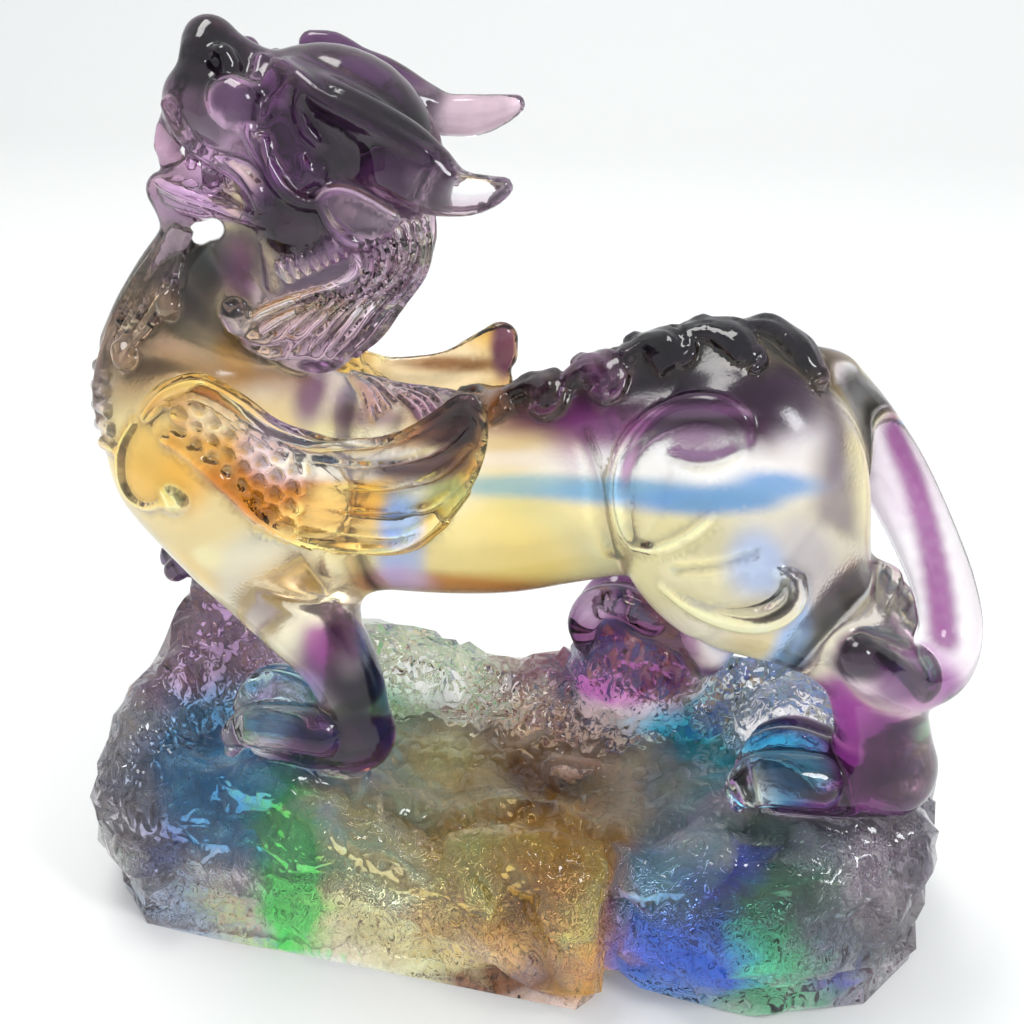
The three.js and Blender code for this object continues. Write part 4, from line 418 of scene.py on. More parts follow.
    (11, 0.15, 0, None, "add", [(-38.9, 10, 138.4, 0.6), (-31.7, 9.4, 136.7, 0.8), (-22.6, 8.8, 135.5, 0.6)]),  # tuftA_6
    (11, 0.15, 0, None, "add", [(-25.8, -0.1, 137.4, 0.6), (-20.7, -5.4, 136.3, 0.8), (-18.2, -9.6, 134.8, 0.6)]),  # tuftB_0
    (11, 0.15, 0, None, "add", [(-25.9, 1.7, 137.6, 0.6), (-20.2, -3.2, 137, 0.8), (-16.7, -8.3, 135.6, 0.6)]),  # tuftB_1
    (11, 0.15, 0, None, "add", [(-26.2, 4, 137.1, 0.6), (-19.8, -0.5, 136.9, 0.8), (-15.2, -6.6, 135.8, 0.6)]),  # tuftB_2
    (11, 0.15, 0, None, "add", [(-27.1, 9.1, 135.3, 0.6), (-19.6, 3.3, 137, 0.8), (-13.7, -4.9, 136.5, 0.6)]),  # tuftB_3
    (11, 0.15, 0, None, "add", [(-26.9, 9.3, 135.8, 0.6), (-19.8, 8.8, 135.2, 0.8), (-12.2, -2.9, 136.6, 0.6)]),  # tuftB_4
    (11, 0.15, 0, None, "add", [(-26.8, 9.3, 135.8, 0.6), (-18.9, 8.6, 135.3, 0.8), (-10.8, -0.5, 137.1, 0.6)]),  # tuftB_5
    (11, 0.15, 0, None, "add", [(-26.7, 9.3, 135.7, 0.6), (-18, 8.4, 135.4, 0.8), (-9.4, 2.6, 136.7, 0.6)]),  # tuftB_6
    (11, 0.15, 3, None, "add", [(-11.7, 8.4, 134.8, 0.7), (-7.4, 0.6, 137.2, 0.9), (-4.4, -5.9, 137.1, 0.9), (-3.3, -9.2, 135.4, 0.7)]),  # lockC_0
    (11, 0.15, 3, None, "add", [(-12, 8.9, 135.1, 0.7), (-7.9, 7, 136.5, 0.9), (-3.8, -5.3, 138.3, 0.9), (-2.7, -8.8, 136.5, 0.7)]),  # lockC_1
    (11, 0.15, 3, None, "add", [(-12.3, 8.9, 135.1, 0.7), (-7.8, 8.8, 135.3, 0.9), (-3, -4.3, 139, 0.9), (-1.9, -8.1, 136.8, 0.7)]),  # lockC_2
    (11, 0.15, 3, None, "add", [(-12.5, 8.5, 135.3, 0.7), (-7.4, 8.4, 135.4, 0.9), (-2.2, -3.2, 140, 0.9), (-1.1, -7.7, 137.6, 0.7)]),  # lockC_3
    (11, 0.15, 3, None, "add", [(-12.7, 8.4, 135.3, 0.7), (-6.5, 6.2, 136.4, 0.9), (-1.4, -1.2, 140, 0.9), (-0.2, -6.8, 137.8, 0.7)]),  # lockC_4
    (11, 1.5, 3, None, "add", [(-12.3, 8.9, 135.1, 1.3), (-7.8, 8.8, 135.3, 1.9), (-2.3, -3.5, 137.5, 1.9), (-1.5, -7, 135.3, 1.3)]),  # lockC_bed
    (11, 0.6, 3, None, "add", [(-10.4, 8.4, 135.3, 1.6), (-9.2, 8.6, 135.3, 1.8)]),  # lockC_ball
    (11, 0.15, 3, None, "add", [(0.8, -4.5, 139.8, 0.8), (4.2, -4.3, 141.3, 1.1), (6.7, -7.6, 140.2, 1.1), (6.9, -9.4, 138.4, 0.8)]),  # lockD_0
    (11, 0.15, 3, None, "add", [(0.5, -4.2, 140.5, 0.8), (4, -2.9, 142.2, 1.1), (7.2, -7.2, 141.6, 1.1), (7.8, -9.6, 139.5, 0.8)]),  # lockD_1
    (11, 0.15, 3, None, "add", [(0.4, -3.5, 140.5, 0.8), (4.1, 0.4, 141, 1.1), (8, -6.3, 142.5, 1.1), (9, -9.4, 140.2, 0.8)]),  # lockD_2
    (11, 0.15, 3, None, "add", [(0.1, -2.9, 141, 0.8), (4.3, 0.6, 141.5, 1.1), (8.5, -5.4, 143.7, 1.1), (10, -9.4, 141.2, 0.8)]),  # lockD_3
    (11, 0.15, 3, None, "add", [(0.1, -2, 140.6, 0.8), (4.6, 0.7, 141.6, 1.1), (9.4, -3.9, 144.1, 1.1), (11.2, -9, 141.7, 0.8)]),  # lockD_4
    (11, 0.15, 3, None, "add", [(-0.2, -0.8, 140.7, 0.8), (5, 0.5, 141.9, 1.1), (9.9, -1.8, 144.8, 1.1), (12.3, -8.9, 142.5, 0.8)]),  # lockD_5
    (11, 1.5, 3, None, "add", [(0.9, -2.7, 138.9, 1.7), (4.1, 0.9, 141.2, 2.4), (9.1, -4.9, 141.5, 2.4), (10.3, -8.1, 139.4, 1.7)]),  # lockD_bed
    (11, 0.3, 3, None, "add", [(12.3, -8.4, 142.8, 1.1), (11.3, -10.7, 140, 1.1), (8.3, -10.7, 138.2, 1.1), (5.5, -8.7, 138.6, 1.1)]),  # lockD_hook
    (11, 0.6, 3, None, "add", [(3.4, 0.8, 141.2, 1.7), (4.4, 0.7, 141.6, 2)]),  # lockD_ball
    (11, 0.15, 3, None, "add", [(13.1, -7, 144.1, 0.8), (16.9, -6.9, 146, 1.1), (19.7, -9.9, 145, 1.1), (20.2, -11.9, 143.5, 0.8)]),  # lockE_0
    (11, 0.15, 3, None, "add", [(12.8, -6.8, 144.8, 0.8), (16.6, -5.8, 147.2, 1.1), (20, -9.3, 146.4, 1.1), (21, -11.8, 144.6, 0.8)]),  # lockE_1
    (11, 0.15, 3, None, "add", [(12.7, -6.2, 144.9, 0.8), (16.5, -4, 147.6, 1.1), (20.5, -8.3, 147.3, 1.1), (22.1, -11.4, 145.2, 0.8)]),  # lockE_2
    (11, 0.15, 3, None, "add", [(12.4, -5.7, 145.4, 0.8), (16.2, -1, 148.1, 1.1), (20.9, -7.3, 148.6, 1.1), (23, -11.3, 146.1, 0.8)]),  # lockE_3
    (11, 0.15, 3, None, "add", [(12.4, -4.8, 145.3, 0.8), (16.6, 1.1, 147.1, 1.1), (21.6, -5.9, 149.2, 1.1), (24, -10.6, 146.5, 0.8)]),  # lockE_4
    (11, 0.15, 3, None, "add", [(12.3, -4, 145.6, 0.8), (17, 1.5, 147.2, 1.1), (22, -4.3, 150.2, 1.1), (25, -10.4, 147.3, 0.8)]),  # lockE_5
    (11, 1.5, 3, None, "add", [(13.3, -5.1, 143.6, 1.8), (17.2, -2.6, 146.2, 2.6), (21.4, -6.7, 146.4, 2.6), (23.1, -10.1, 144.2, 1.8)]),  # lockE_bed
    (11, 0.3, 3, None, "add", [(25, -9.9, 147.5, 1.1), (24, -12.4, 144.9, 1.1), (21.3, -12.9, 143.4, 1.1), (18.8, -10.8, 144, 1.1)]),  # lockE_hook
    (11, 0.6, 3, None, "add", [(14.4, 1, 146.1, 1.8), (15.3, 0.8, 146.6, 2.1)]),  # lockE_ball
    (11, 0.15, 3, None, "add", [(24.8, -6.7, 149.9, 0.9), (28.5, -5.8, 152, 1.1), (31.1, -8.7, 150.8, 1.1), (32.5, -10.9, 149, 0.9)]),  # lockF_0
    (11, 0.15, 3, None, "add", [(24.5, -6.5, 150.6, 0.9), (28.5, -4.7, 153.1, 1.1), (31.7, -8, 152.4, 1.1), (33.5, -10.7, 150.4, 0.9)]),  # lockF_1
    (11, 0.15, 3, None, "add", [(24.4, -5.8, 150.8, 0.9), (28.7, -2.9, 153.4, 1.1), (32.5, -6.6, 153.5, 1.1), (34.7, -10, 151.4, 0.9)]),  # lockF_2
    (11, 0.15, 3, None, "add", [(24.2, -5.2, 151.3, 0.9), (29.2, 0.7, 152.3, 1.1), (33.2, -5, 154.8, 1.1), (35.8, -9.5, 152.6, 0.9)]),  # lockF_3
    (11, 0.15, 3, None, "add", [(24.2, -4.3, 151.1, 0.9), (29.6, 0.9, 152.9, 1.1), (34.1, -2.1, 155.2, 1.1), (37, -8.4, 153.4, 0.9)]),  # lockF_4
    (11, 0.15, 3, None, "add", [(24, -3.4, 151.3, 0.9), (30.1, 0.6, 153.1, 1.1), (35.2, 1, 154.7, 1.1), (38.1, -7.5, 154.5, 0.9)]),  # lockF_5
    (11, 1.5, 3, None, "add", [(25.1, -4.7, 149.3, 1.9), (29.5, -1.5, 151.7, 2.7), (33.4, -5.1, 152.4, 2.7), (35.6, -8.3, 150.6, 1.9)]),  # lockF_bed
    (11, 0.3, 3, None, "add", [(38.1, -6.9, 154.6, 1.2), (38.4, -9.4, 152.7, 1.2), (36.9, -10.4, 151.2, 1.2)]),  # lockF_hook
    (11, 0.6, 3, None, "add", [(25.7, 0.8, 151.5, 1.8), (26.6, 0.9, 151.8, 2.1)]),  # lockF_ball
    (11, 0.15, 3, None, "add", [(37.5, -5.7, 155, 0.9), (41.6, -5.8, 155.7, 1.2), (45.7, -9, 154.3, 1.2), (47.8, -11.8, 152.8, 0.9)]),  # lockG_0
    (11, 0.15, 3, None, "add", [(37.2, -5.2, 155.7, 0.9), (41.5, -4.4, 156.7, 1.2), (46.2, -8.3, 155.4, 1.2), (48.7, -11.7, 153.4, 0.9)]),  # lockG_1
    (11, 0.15, 3, None, "add", [(37.1, -4.3, 155.8, 0.9), (41.4, -2.1, 156.8, 1.2), (46.7, -7.2, 155.9, 1.2), (49.6, -11.4, 153.5, 0.9)]),  # lockG_2
    (11, 0.15, 3, None, "add", [(36.8, -3.4, 156.3, 0.9), (41.6, 1.2, 155.8, 1.2), (47.2, -6, 156.8, 1.2), (50.5, -11.2, 153.9, 0.9)]),  # lockG_3
    (11, 0.15, 3, None, "add", [(36.8, -2.1, 155.9, 0.9), (41.5, 0.8, 156, 1.2), (47.7, -4.3, 156.9, 1.2), (51.4, -10.6, 153.7, 0.9)]),  # lockG_4
    (11, 0.15, 3, None, "add", [(36.6, 0.4, 155.6, 0.9), (41.5, 0.5, 156.1, 1.2), (48.3, -2, 157.3, 1.2), (52.3, -10.3, 153.9, 0.9)]),  # lockG_5
    (11, 1.5, 3, None, "add", [(37.4, -3.5, 154.1, 2), (41.7, 0.2, 154.7, 2.9), (47, -5.8, 154.5, 2.9), (50, -10.3, 151.9, 2)]),  # lockG_bed
    (11, 0.3, 3, None, "add", [(52.3, -9.8, 154.1, 1.2), (52.7, -12, 152.7, 1.2), (51, -14.2, 151.8, 1.2)]),  # lockG_hook
    (11, 0.6, 3, None, "add", [(39.6, 0.8, 155.8, 2), (40.6, 0.8, 155.9, 2.4)]),  # lockG_ball
    (11, 0.15, 3, None, "add", [(49.9, -4, 156.8, 0.9), (54.1, -4, 156.5, 1.2), (58.6, -7.7, 153.9, 1.2), (61.6, -10.2, 151, 0.9)]),  # lockH_0
    (11, 0.15, 3, None, "add", [(49.8, -3.2, 157.5, 0.9), (54.3, -2.6, 157.2, 1.2), (59.4, -7.4, 154.5, 1.2), (62.5, -10.3, 151.2, 0.9)]),  # lockH_1
    (11, 0.15, 3, None, "add", [(49.6, -1.9, 157.4, 0.9), (54.7, 1, 156.6, 1.2), (60, -6.6, 154.5, 1.2), (63.2, -10, 150.9, 0.9)]),  # lockH_2
    (11, 0.15, 3, None, "add", [(49.7, 1.1, 155.9, 0.9), (54.5, 0.7, 156.2, 1.2), (60.8, -5.8, 154.9, 1.2), (64, -9.9, 150.8, 0.9)]),  # lockH_3
    (11, 0.15, 3, None, "add", [(49.5, 0.8, 156.4, 0.9), (54.5, 0.7, 156.3, 1.2), (61.3, -4.5, 154.6, 1.2), (64.7, -9.4, 150.2, 0.9)]),  # lockH_4
    (11, 0.15, 3, None, "add", [(49.3, 0.9, 156.6, 0.9), (54.4, 0.8, 156.3, 1.2), (62, -3, 154.6, 1.2), (65.5, -9.1, 150, 0.9)]),  # lockH_5
    (11, 1.5, 3, None, "add", [(49.6, -1.2, 155.5, 2), (54.6, 1, 155.9, 2.9), (59.6, -5.4, 153, 2.9), (62.8, -8.9, 149.3, 2)]),  # lockH_bed
    (11, 0.3, 3, None, "add", [(65.4, -8.7, 150.2, 1.2), (65.7, -10.3, 148.6, 1.2), (63.8, -12.5, 148.6, 1.2)]),  # lockH_hook
    (11, 0.6, 3, None, "add", [(54.5, 0.7, 156.3, 1.9), (55.5, 0.6, 156.1, 2.2)]),  # lockH_ball
    (10, 0.25, 3, None, "add", [(-53, -30, 145, 0.7), (-51.7, -30.2, 144.1, 0.8), (-51.2, -30.5, 142.5, 0.8), (-51.7, -30.3, 141.2, 0.8), (-52.9, -29.9, 140.6, 0.8), (-54.6, -29.7, 140.8, 0.8), (-55.8, -29.4, 141.8, 0.7)]),  # scale_rim_0_-2
    (10, 0.25, 3, None, "add", [(-49.9, -30.5, 142.5, 0.7), (-48.6, -30.7, 141.6, 0.8), (-48.2, -30.8, 140, 0.8), (-48.6, -30.6, 138.7, 0.8), (-49.6, -30.6, 138.3, 0.8), (-51.3, -30.5, 138.5, 0.8), (-52.5, -30.2, 139.5, 0.7)]),  # scale_rim_1_-2
    (10, 0.25, 3, None, "add", [(-46.8, -30.9, 140, 0.7), (-45.5, -31, 139, 0.8), (-45.1, -30.9, 137.3, 0.8), (-45.4, -31, 136.3, 0.8), (-46.4, -31.1, 135.9, 0.8), (-48.1, -31.1, 136.1, 0.8), (-49.3, -30.9, 137.1, 0.7)]),  # scale_rim_2_-2
    (10, 0.25, 3, None, "add", [(-43.9, -31, 137.2, 0.7), (-42.6, -30.9, 136.3, 0.8), (-42, -31, 134.8, 0.8), (-42.2, -31.3, 133.7, 0.8), (-43.3, -31.5, 133.3, 0.8), (-44.9, -31.5, 133.5, 0.8), (-46.1, -31.4, 134.7, 0.7)]),  # scale_rim_3_-2
    (10, 0.25, 3, None, "add", [(-40.8, -30.8, 134.6, 0.7), (-39.5, -30.8, 133.7, 0.8), (-38.9, -31.2, 132.2, 0.8), (-39.2, -31.5, 131.1, 0.8), (-40.2, -31.7, 130.7, 0.8), (-41.8, -31.8, 130.9, 0.8), (-43, -31.7, 132.1, 0.7)]),  # scale_rim_4_-2
    (10, 0.25, 3, None, "add", [(-60.3, -29, 145.6, 0.7), (-59.1, -28.9, 144.6, 0.8), (-58.7, -28.8, 143.2, 0.8), (-58.9, -29, 142.1, 0.8), (-60, -29, 141.6, 0.8), (-61.8, -28.7, 141.7, 0.8), (-63.1, -28.2, 142.7, 0.7)]),  # scale_rim_-2_-1
    (10, 0.25, 3, None, "add", [(-57.3, -29, 143.1, 0.7), (-55.9, -29.3, 142.3, 0.8), (-55.3, -29.6, 140.9, 0.8), (-55.6, -29.9, 139.8, 0.8), (-56.7, -29.8, 139.3, 0.8), (-58.5, -29.6, 139.4, 0.8), (-59.7, -29.2, 140.4, 0.7)]),  # scale_rim_-1_-1
    (10, 0.25, 3, None, "add", [(-54, -29.7, 140.8, 0.7), (-52.6, -30, 140, 0.8), (-52.1, -30.4, 138.5, 0.8), (-52.3, -30.6, 137.4, 0.8), (-53.5, -30.6, 136.9, 0.8), (-55.3, -30.3, 137, 0.8), (-56.5, -30, 138.1, 0.7)]),  # scale_rim_0_-1
    (10, 0.25, 3, None, "add", [(-50.8, -30.5, 138.5, 0.7), (-49.4, -30.7, 137.6, 0.8), (-48.8, -31.1, 136.1, 0.8), (-49.1, -31.2, 135, 0.8), (-50.2, -31.2, 134.5, 0.8), (-52, -31, 134.6, 0.8), (-53.2, -30.7, 135.7, 0.7)]),  # scale_rim_1_-1
    (10, 0.25, 3, None, "add", [(-47.5, -31.1, 136.1, 0.7), (-46.2, -31.3, 135.2, 0.8), (-45.7, -31.5, 133.6, 0.8), (-46, -31.7, 132.5, 0.8), (-47.1, -31.6, 131.9, 0.8), (-48.8, -31.5, 132.1, 0.8), (-50, -31.3, 133.2, 0.7)]),  # scale_rim_2_-1
    (10, 0.25, 3, None, "add", [(-44.4, -31.5, 133.6, 0.7), (-43.1, -31.6, 132.6, 0.8), (-42.6, -31.8, 131, 0.8), (-42.9, -31.9, 129.8, 0.8), (-44, -31.8, 129.3, 0.8), (-45.7, -31.7, 129.4, 0.8), (-46.8, -31.7, 130.6, 0.7)]),  # scale_rim_3_-1
    (10, 0.25, 3, None, "add", [(-41.3, -31.7, 130.9, 0.7), (-40, -31.8, 130, 0.8), (-39.5, -31.9, 128.3, 0.8), (-39.8, -32, 127.1, 0.8), (-40.9, -31.9, 126.6, 0.8), (-42.7, -31.8, 126.7, 0.8), (-43.8, -31.8, 127.9, 0.7)]),  # scale_rim_4_-1
    (10, 0.25, 0, None, "add", [(-64.7, -27.6, 143.9, 0.7), (-63.2, -28, 143.2, 0.8), (-62.6, -28.5, 141.7, 0.8), (-62.9, -28.7, 140.7, 0.8), (-63.9, -28.8, 140.3, 0.8), (-65.6, -28.7, 140.6, 0.8), (-67, -28.1, 141.5, 0.7)]),  # scale_rim_-2_0
    (10, 0.25, 0, None, "add", [(-61.2, -28.8, 141.8, 0.7), (-59.8, -29.2, 141, 0.8), (-59.3, -29.5, 139.4, 0.8), (-59.6, -29.6, 138.3, 0.8), (-60.5, -29.6, 138, 0.8), (-62.1, -29.7, 138.3, 0.8), (-63.4, -29.3, 139.3, 0.7)]),  # scale_rim_-1_0
    (10, 0.25, 0, None, "add", [(-57.9, -29.6, 139.4, 0.7), (-56.5, -29.9, 138.6, 0.8), (-56, -30.2, 137, 0.8), (-56.4, -30.1, 135.8, 0.8), (-57.4, -30.2, 135.4, 0.8), (-58.9, -30.4, 135.9, 0.8), (-60.1, -30.1, 136.9, 0.7)]),  # scale_rim_0_0
    (10, 0.25, 0, None, "add", [(-54.7, -30.4, 137.1, 0.7), (-53.3, -30.7, 136.2, 0.8), (-52.8, -30.8, 134.6, 0.8), (-53.2, -30.8, 133.3, 0.8), (-54.3, -30.5, 132.8, 0.8), (-55.8, -30.6, 133.1, 0.8), (-57, -30.5, 134.3, 0.7)]),  # scale_rim_1_0
    (10, 0.25, 0, None, "add", [(-51.4, -31, 134.6, 0.7), (-50, -31.3, 133.8, 0.8), (-49.6, -31.4, 132.1, 0.8), (-50, -31.3, 130.8, 0.8), (-51.2, -31, 130.2, 0.8), (-53, -30.6, 130.2, 0.8), (-54.1, -30.6, 131.5, 0.7)]),  # scale_rim_2_0
    (10, 0.25, 0, None, "add", [(-48.2, -31.5, 132.1, 0.7), (-46.9, -31.7, 131.2, 0.8), (-46.5, -31.7, 129.5, 0.8), (-46.9, -31.5, 128.2, 0.8), (-48.1, -31.2, 127.5, 0.8), (-49.9, -30.9, 127.5, 0.8), (-51, -30.8, 128.8, 0.7)]),  # scale_rim_3_0
    (10, 0.25, 0, None, "add", [(-45.1, -31.8, 129.5, 0.7), (-43.8, -31.8, 128.5, 0.8), (-43.4, -31.7, 126.8, 0.8), (-43.8, -31.6, 125.4, 0.8), (-45, -31.3, 124.7, 0.8), (-46.8, -30.9, 124.8, 0.8), (-47.9, -31, 126, 0.7)]),  # scale_rim_4_0
    (10, 0.25, 3, None, "add", [(-42.1, -31.8, 126.8, 0.7), (-40.8, -31.9, 125.8, 0.8), (-40.4, -31.7, 123.9, 0.8), (-40.8, -31.4, 122.5, 0.8), (-42, -31.1, 121.8, 0.8), (-43.8, -30.9, 121.9, 0.8), (-44.9, -31, 123.2, 0.7)]),  # scale_rim_5_0
    (10, 0.25, 0, None, "add", [(-65.1, -28.6, 140.5, 0.7), (-63.6, -29, 139.7, 0.8), (-62.8, -29.8, 138.4, 0.8), (-62.9, -30.4, 137.5, 0.8), (-63.9, -30.8, 137.2, 0.8), (-65.6, -30.8, 137.4, 0.8), (-67, -30.2, 138.4, 0.7)]),  # scale_rim_-2_1
    (10, 0.25, 0, None, "add", [(-61.6, -29.7, 138.3, 0.7), (-60.2, -29.9, 137.4, 0.8), (-59.5, -30.5, 136, 0.8), (-59.6, -31.1, 135.1, 0.8), (-60.6, -31.5, 134.8, 0.8), (-62.2, -31.7, 135.1, 0.8), (-63.5, -31.3, 136.1, 0.7)]),  # scale_rim_-1_1
    (10, 0.25, 0, None, "add", [(-58.4, -30.2, 135.8, 0.7), (-57.1, -30.3, 134.8, 0.8), (-56.4, -30.7, 133.3, 0.8), (-56.6, -31.2, 132.4, 0.8), (-57.5, -31.8, 132.1, 0.8), (-59, -32.2, 132.6, 0.8), (-60.2, -32, 133.7, 0.7)]),  # scale_rim_0_1
    (10, 0.25, 0, None, "add", [(-55.4, -30.5, 133.1, 0.7), (-54.1, -30.6, 132, 0.8), (-53.6, -30.6, 130.4, 0.8), (-53.8, -30.7, 129.3, 0.8), (-54.6, -31.3, 129.1, 0.8), (-56, -32, 129.7, 0.8), (-57.1, -32.1, 131, 0.7)]),  # scale_rim_1_1
    (10, 0.25, 0, None, "add", [(-52.4, -30.7, 130.3, 0.7), (-51.1, -30.9, 129.4, 0.8), (-50.7, -30.7, 127.5, 0.8), (-51.1, -30.3, 126.1, 0.8), (-52, -30.4, 125.8, 0.8), (-53.3, -31.2, 126.5, 0.8), (-54.3, -31.4, 127.8, 0.7)]),  # scale_rim_2_1
    (10, 0.25, 0, None, "add", [(-49.3, -31, 127.7, 0.7), (-47.9, -31.1, 126.7, 0.8), (-47.6, -30.8, 124.8, 0.8), (-48.2, -30.2, 123.2, 0.8), (-49.5, -29.6, 122.4, 0.8), (-50.7, -30, 123, 0.8), (-51.7, -30.4, 124.5, 0.7)]),  # scale_rim_3_1
    (10, 0.25, 0, None, "add", [(-46.2, -31.1, 124.9, 0.7), (-44.9, -31.1, 123.9, 0.8), (-44.6, -30.7, 121.9, 0.8), (-45.2, -30, 120.3, 0.8), (-46.7, -29, 119.2, 0.8), (-48.2, -28.9, 119.5, 0.8), (-49.2, -29.3, 121, 0.7)]),  # scale_rim_4_1
    (10, 0.25, 3, None, "add", [(-43.2, -31, 122, 0.7), (-41.9, -30.9, 120.9, 0.8), (-41.7, -30, 118.6, 0.8), (-42.5, -28.7, 116.6, 0.8), (-43.9, -27.7, 115.6, 0.8), (-45.5, -27.8, 116, 0.8), (-46.6, -28.2, 117.4, 0.7)]),  # scale_rim_5_1
]
LEDGES = [  # label, blend, mirror (1 about the head, 2 about the body, 3 about the body and lower), flattening, add or cut, then (x, y, z, radius)
    (0, 6, 0, None, "add", [(-85.4, -22.7, 45.4, 2), (-74.7, -24.1, 44.4, 3), (-59.9, -29, 47.5, 3.2), (-46.9, -31.3, 48.1, 3), (-39.4, -33, 45.2, 2.6), (-31.8, -37.2, 40.6, 2.6), (-21.2, -40.2, 37.4, 2.8), (-8.7, -42.1, 35, 2)]),  # rk_lip1
    (0, 5, 0, None, "add", [(-10.9, -28.7, 40.7, 1.8), (-2.5, -23.2, 40, 2.4), (7.2, -23.3, 39.9, 2.6), (18.3, -25.8, 40.1, 2.6), (25.8, -27.8, 40.2, 2.2)]),  # rk_lip2
    (0, 8, 0, None, "cut", [(-40, -28.1, 52.3, 3), (-29.7, -28.9, 46.6, 4), (-19.8, -32, 43.1, 4.4), (-10.7, -41.5, 41.9, 3.6)]),  # rk_vale1
    (0, 10, 0, None, "cut", [(-28.5, -9.8, 43.3, 3), (-14.1, -12.3, 41.8, 4), (3.2, -8.1, 40.1, 4), (16.8, -5.4, 39.3, 3)]),  # rk_vale2
    (0, 6, 0, None, "add", [(-8.2, -39.9, 41.5, 2), (-2.6, -42.9, 33, 3), (2.6, -43.5, 21.6, 3), (7.4, -44, 11.5, 2.2)]),  # rk_fold1
    (0, 6, 0, None, "add", [(6.8, -40.8, 43.9, 2), (13.6, -44.1, 39, 3), (19, -45.5, 28.9, 3.2), (23.4, -43.8, 9.9, 2.4)]),  # rk_fold2
    (0, 5, 0, None, "cut", [(-0.5, -43, 41.7, 1.6), (4.8, -45.2, 30.1, 2.6), (10.1, -45.8, 17.1, 2)]),  # rk_cut1
    (0, 5, 0, None, "cut", [(28.1, -34.6, 41.3, 1.6), (29.6, -37.5, 30, 2.6), (29.6, -37.6, 17.6, 3), (29.5, -37.5, 2, 2.6)]),  # rk_split
    (0, 10, 0, None, "add", [(36.7, -36.1, 37.3, 4), (47.8, -35.6, 39.7, 5), (61.1, -36.8, 40.4, 5), (74.3, -37.1, 39.5, 4)]),  # rk_cushion1
    (0, 10, 0, None, "add", [(35.5, -36.5, 15.9, 4), (47.2, -38.9, 16.8, 6), (60.6, -41.8, 20.1, 6), (76.3, -38.4, 20.7, 5)]),  # rk_cushion2
    (0, 6, 0, None, "add", [(-99.9, -17.4, 45.1, 3.5), (-95.5, -23.7, 42.8, 4), (-96.5, -25.9, 36.7, 3)]),  # rk_left1
    (0, 6, 0, None, "add", [(-93.4, -6.1, 54.5, 3), (-94, -11.8, 52.4, 4), (-95.2, -16.2, 49.4, 3)]),  # rk_left2
    (0, 6, 0, None, "add", [(-96.7, -26.4, 30.8, 3.5), (-94.9, -28.1, 24.2, 3.6), (-88.2, -32.9, 21.3, 3)]),  # rk_left3
    (0, 5, 0, None, "cut", [(-89, -28.2, 44.6, 1.6), (-82.4, -34.9, 37.2, 2.6), (-79.7, -35.5, 24.9, 2.8), (-80.8, -35.3, 9.6, 2.2)]),  # rk_cutL1
    (0, 1.6, 0, None, "add", [(-88, -0.4, 57.6, 5.6), (-85.9, -1.2, 56.7, 5.4)]),  # rk_ball
    (0, 3, 0, None, "add", [(-47.1, -23.4, 54.8, 2.4), (-47, -5.3, 41.5, 3), (-38.5, -21.1, 51.6, 2.6)]),  # rk_knob1
    (0, 3, 0, None, "add", [(-37.4, -23.1, 50.9, 2), (-33.3, -24.4, 47.8, 2.6), (-30.3, -29, 44.3, 2.4), (-26.9, -35.6, 41.3, 1.8)]),  # rk_knob2
    (0, 2.5, 0, None, "add", [(12.7, -2.1, 36.3, 4.4), (20.7, -4.1, 36.8, 4.4)]),  # rk_mound
    (0, 6, 0, None, "add", [(95.6, -18.2, 43.7, 2.4), (97.3, -24.6, 39.4, 3), (95.9, -27.6, 29.8, 3), (90.2, -34.2, 23.2, 2.4)]),  # rk_ridgeR
]
ROCK_LEVEL, ROCK_LEAN = 40.0, 0.26
ROCK_OUTLINE = [(-90.5, -33), (22, -46), (29, -36), (62, -43), (89, -36), (103, -20), (107, 2), (100, 24), (82, 37), (48, 42), (0, 40), (-48, 41), (-82, 39), (-101, 24), (-106, 0), (-103, -20)]
ROCK_LUMPS = [  # x, y, height, reach in x, reach in y
    (-85, 20, 35, 13, 14),
    (-94, -6, 14, 14, 16),
    (-60, 30, 14, 26, 14),
    (-50, -24, 7.5, 22, 15),
    (-30, 30, 9, 26, 14),
    (34, 22, 15, 20, 12),
    (18, 36, 9, 14, 9),
    (66, 34, 13, 16, 9),
    (80, 20, 7, 15, 10),
    (76, -20, 5, 26, 16),
    (104, 0, -3, 14, 22),
    (-82, -24, 2, 14, 12),
    (6, -40, 5, 20, 9),
    (14, 2, -3, 20, 16),
    (-46, -22, 8, 17, 9),
    (76, -20, 7, 19, 9),
]
ROCK_BOULDERS = [
    ((74, 10, 46), (17, 15, 14), 5),
    ((92, 6, 36), (13, 14, 13), 5),
    ((34, 24, 50), (16, 12, 11), 5),
    ((-88, 4, 52), (9, 9, 8), 4),
    ((-101, -10, 22), (7, 16, 17), 6),
    ((-30, 26, 44), (20, 12, 10), 6),
    ((31, 18, 57), (17, 12, 14), 5),
]
BASE_TINT = ['cdbccc', 'f0e4b0', 'f2ead0', '5b3a62', 'd0bccc', '644668', 'b698ac', 'd4c0cc', 'ccb8c6', 'c4b0b4', 'e8c070', '4a3450']
BASE_SATIN = [0.02, 0.19, 0.14, 0.05, 0.07, 0.1, 0.08, 0.04, 0.12, 0.07, 0.06, 0.07]
GROUPS = {'rock': [0], 'torso': [1, 2, 9, 11], 'legs': [2, 3], 'head': [5, 6, 7, 8], 'face': [6], 'mane': [8], 'horn': [7], 'wing': [10], 'tail': [4], 'body': [1], 'locks': [11], 'beard': [9], 'all': [0, 1, 2, 3, 4, 5, 6, 7, 8, 9, 10, 11], 'animal': [1, 2, 3, 4, 5, 6, 7, 8, 9, 10, 11]}
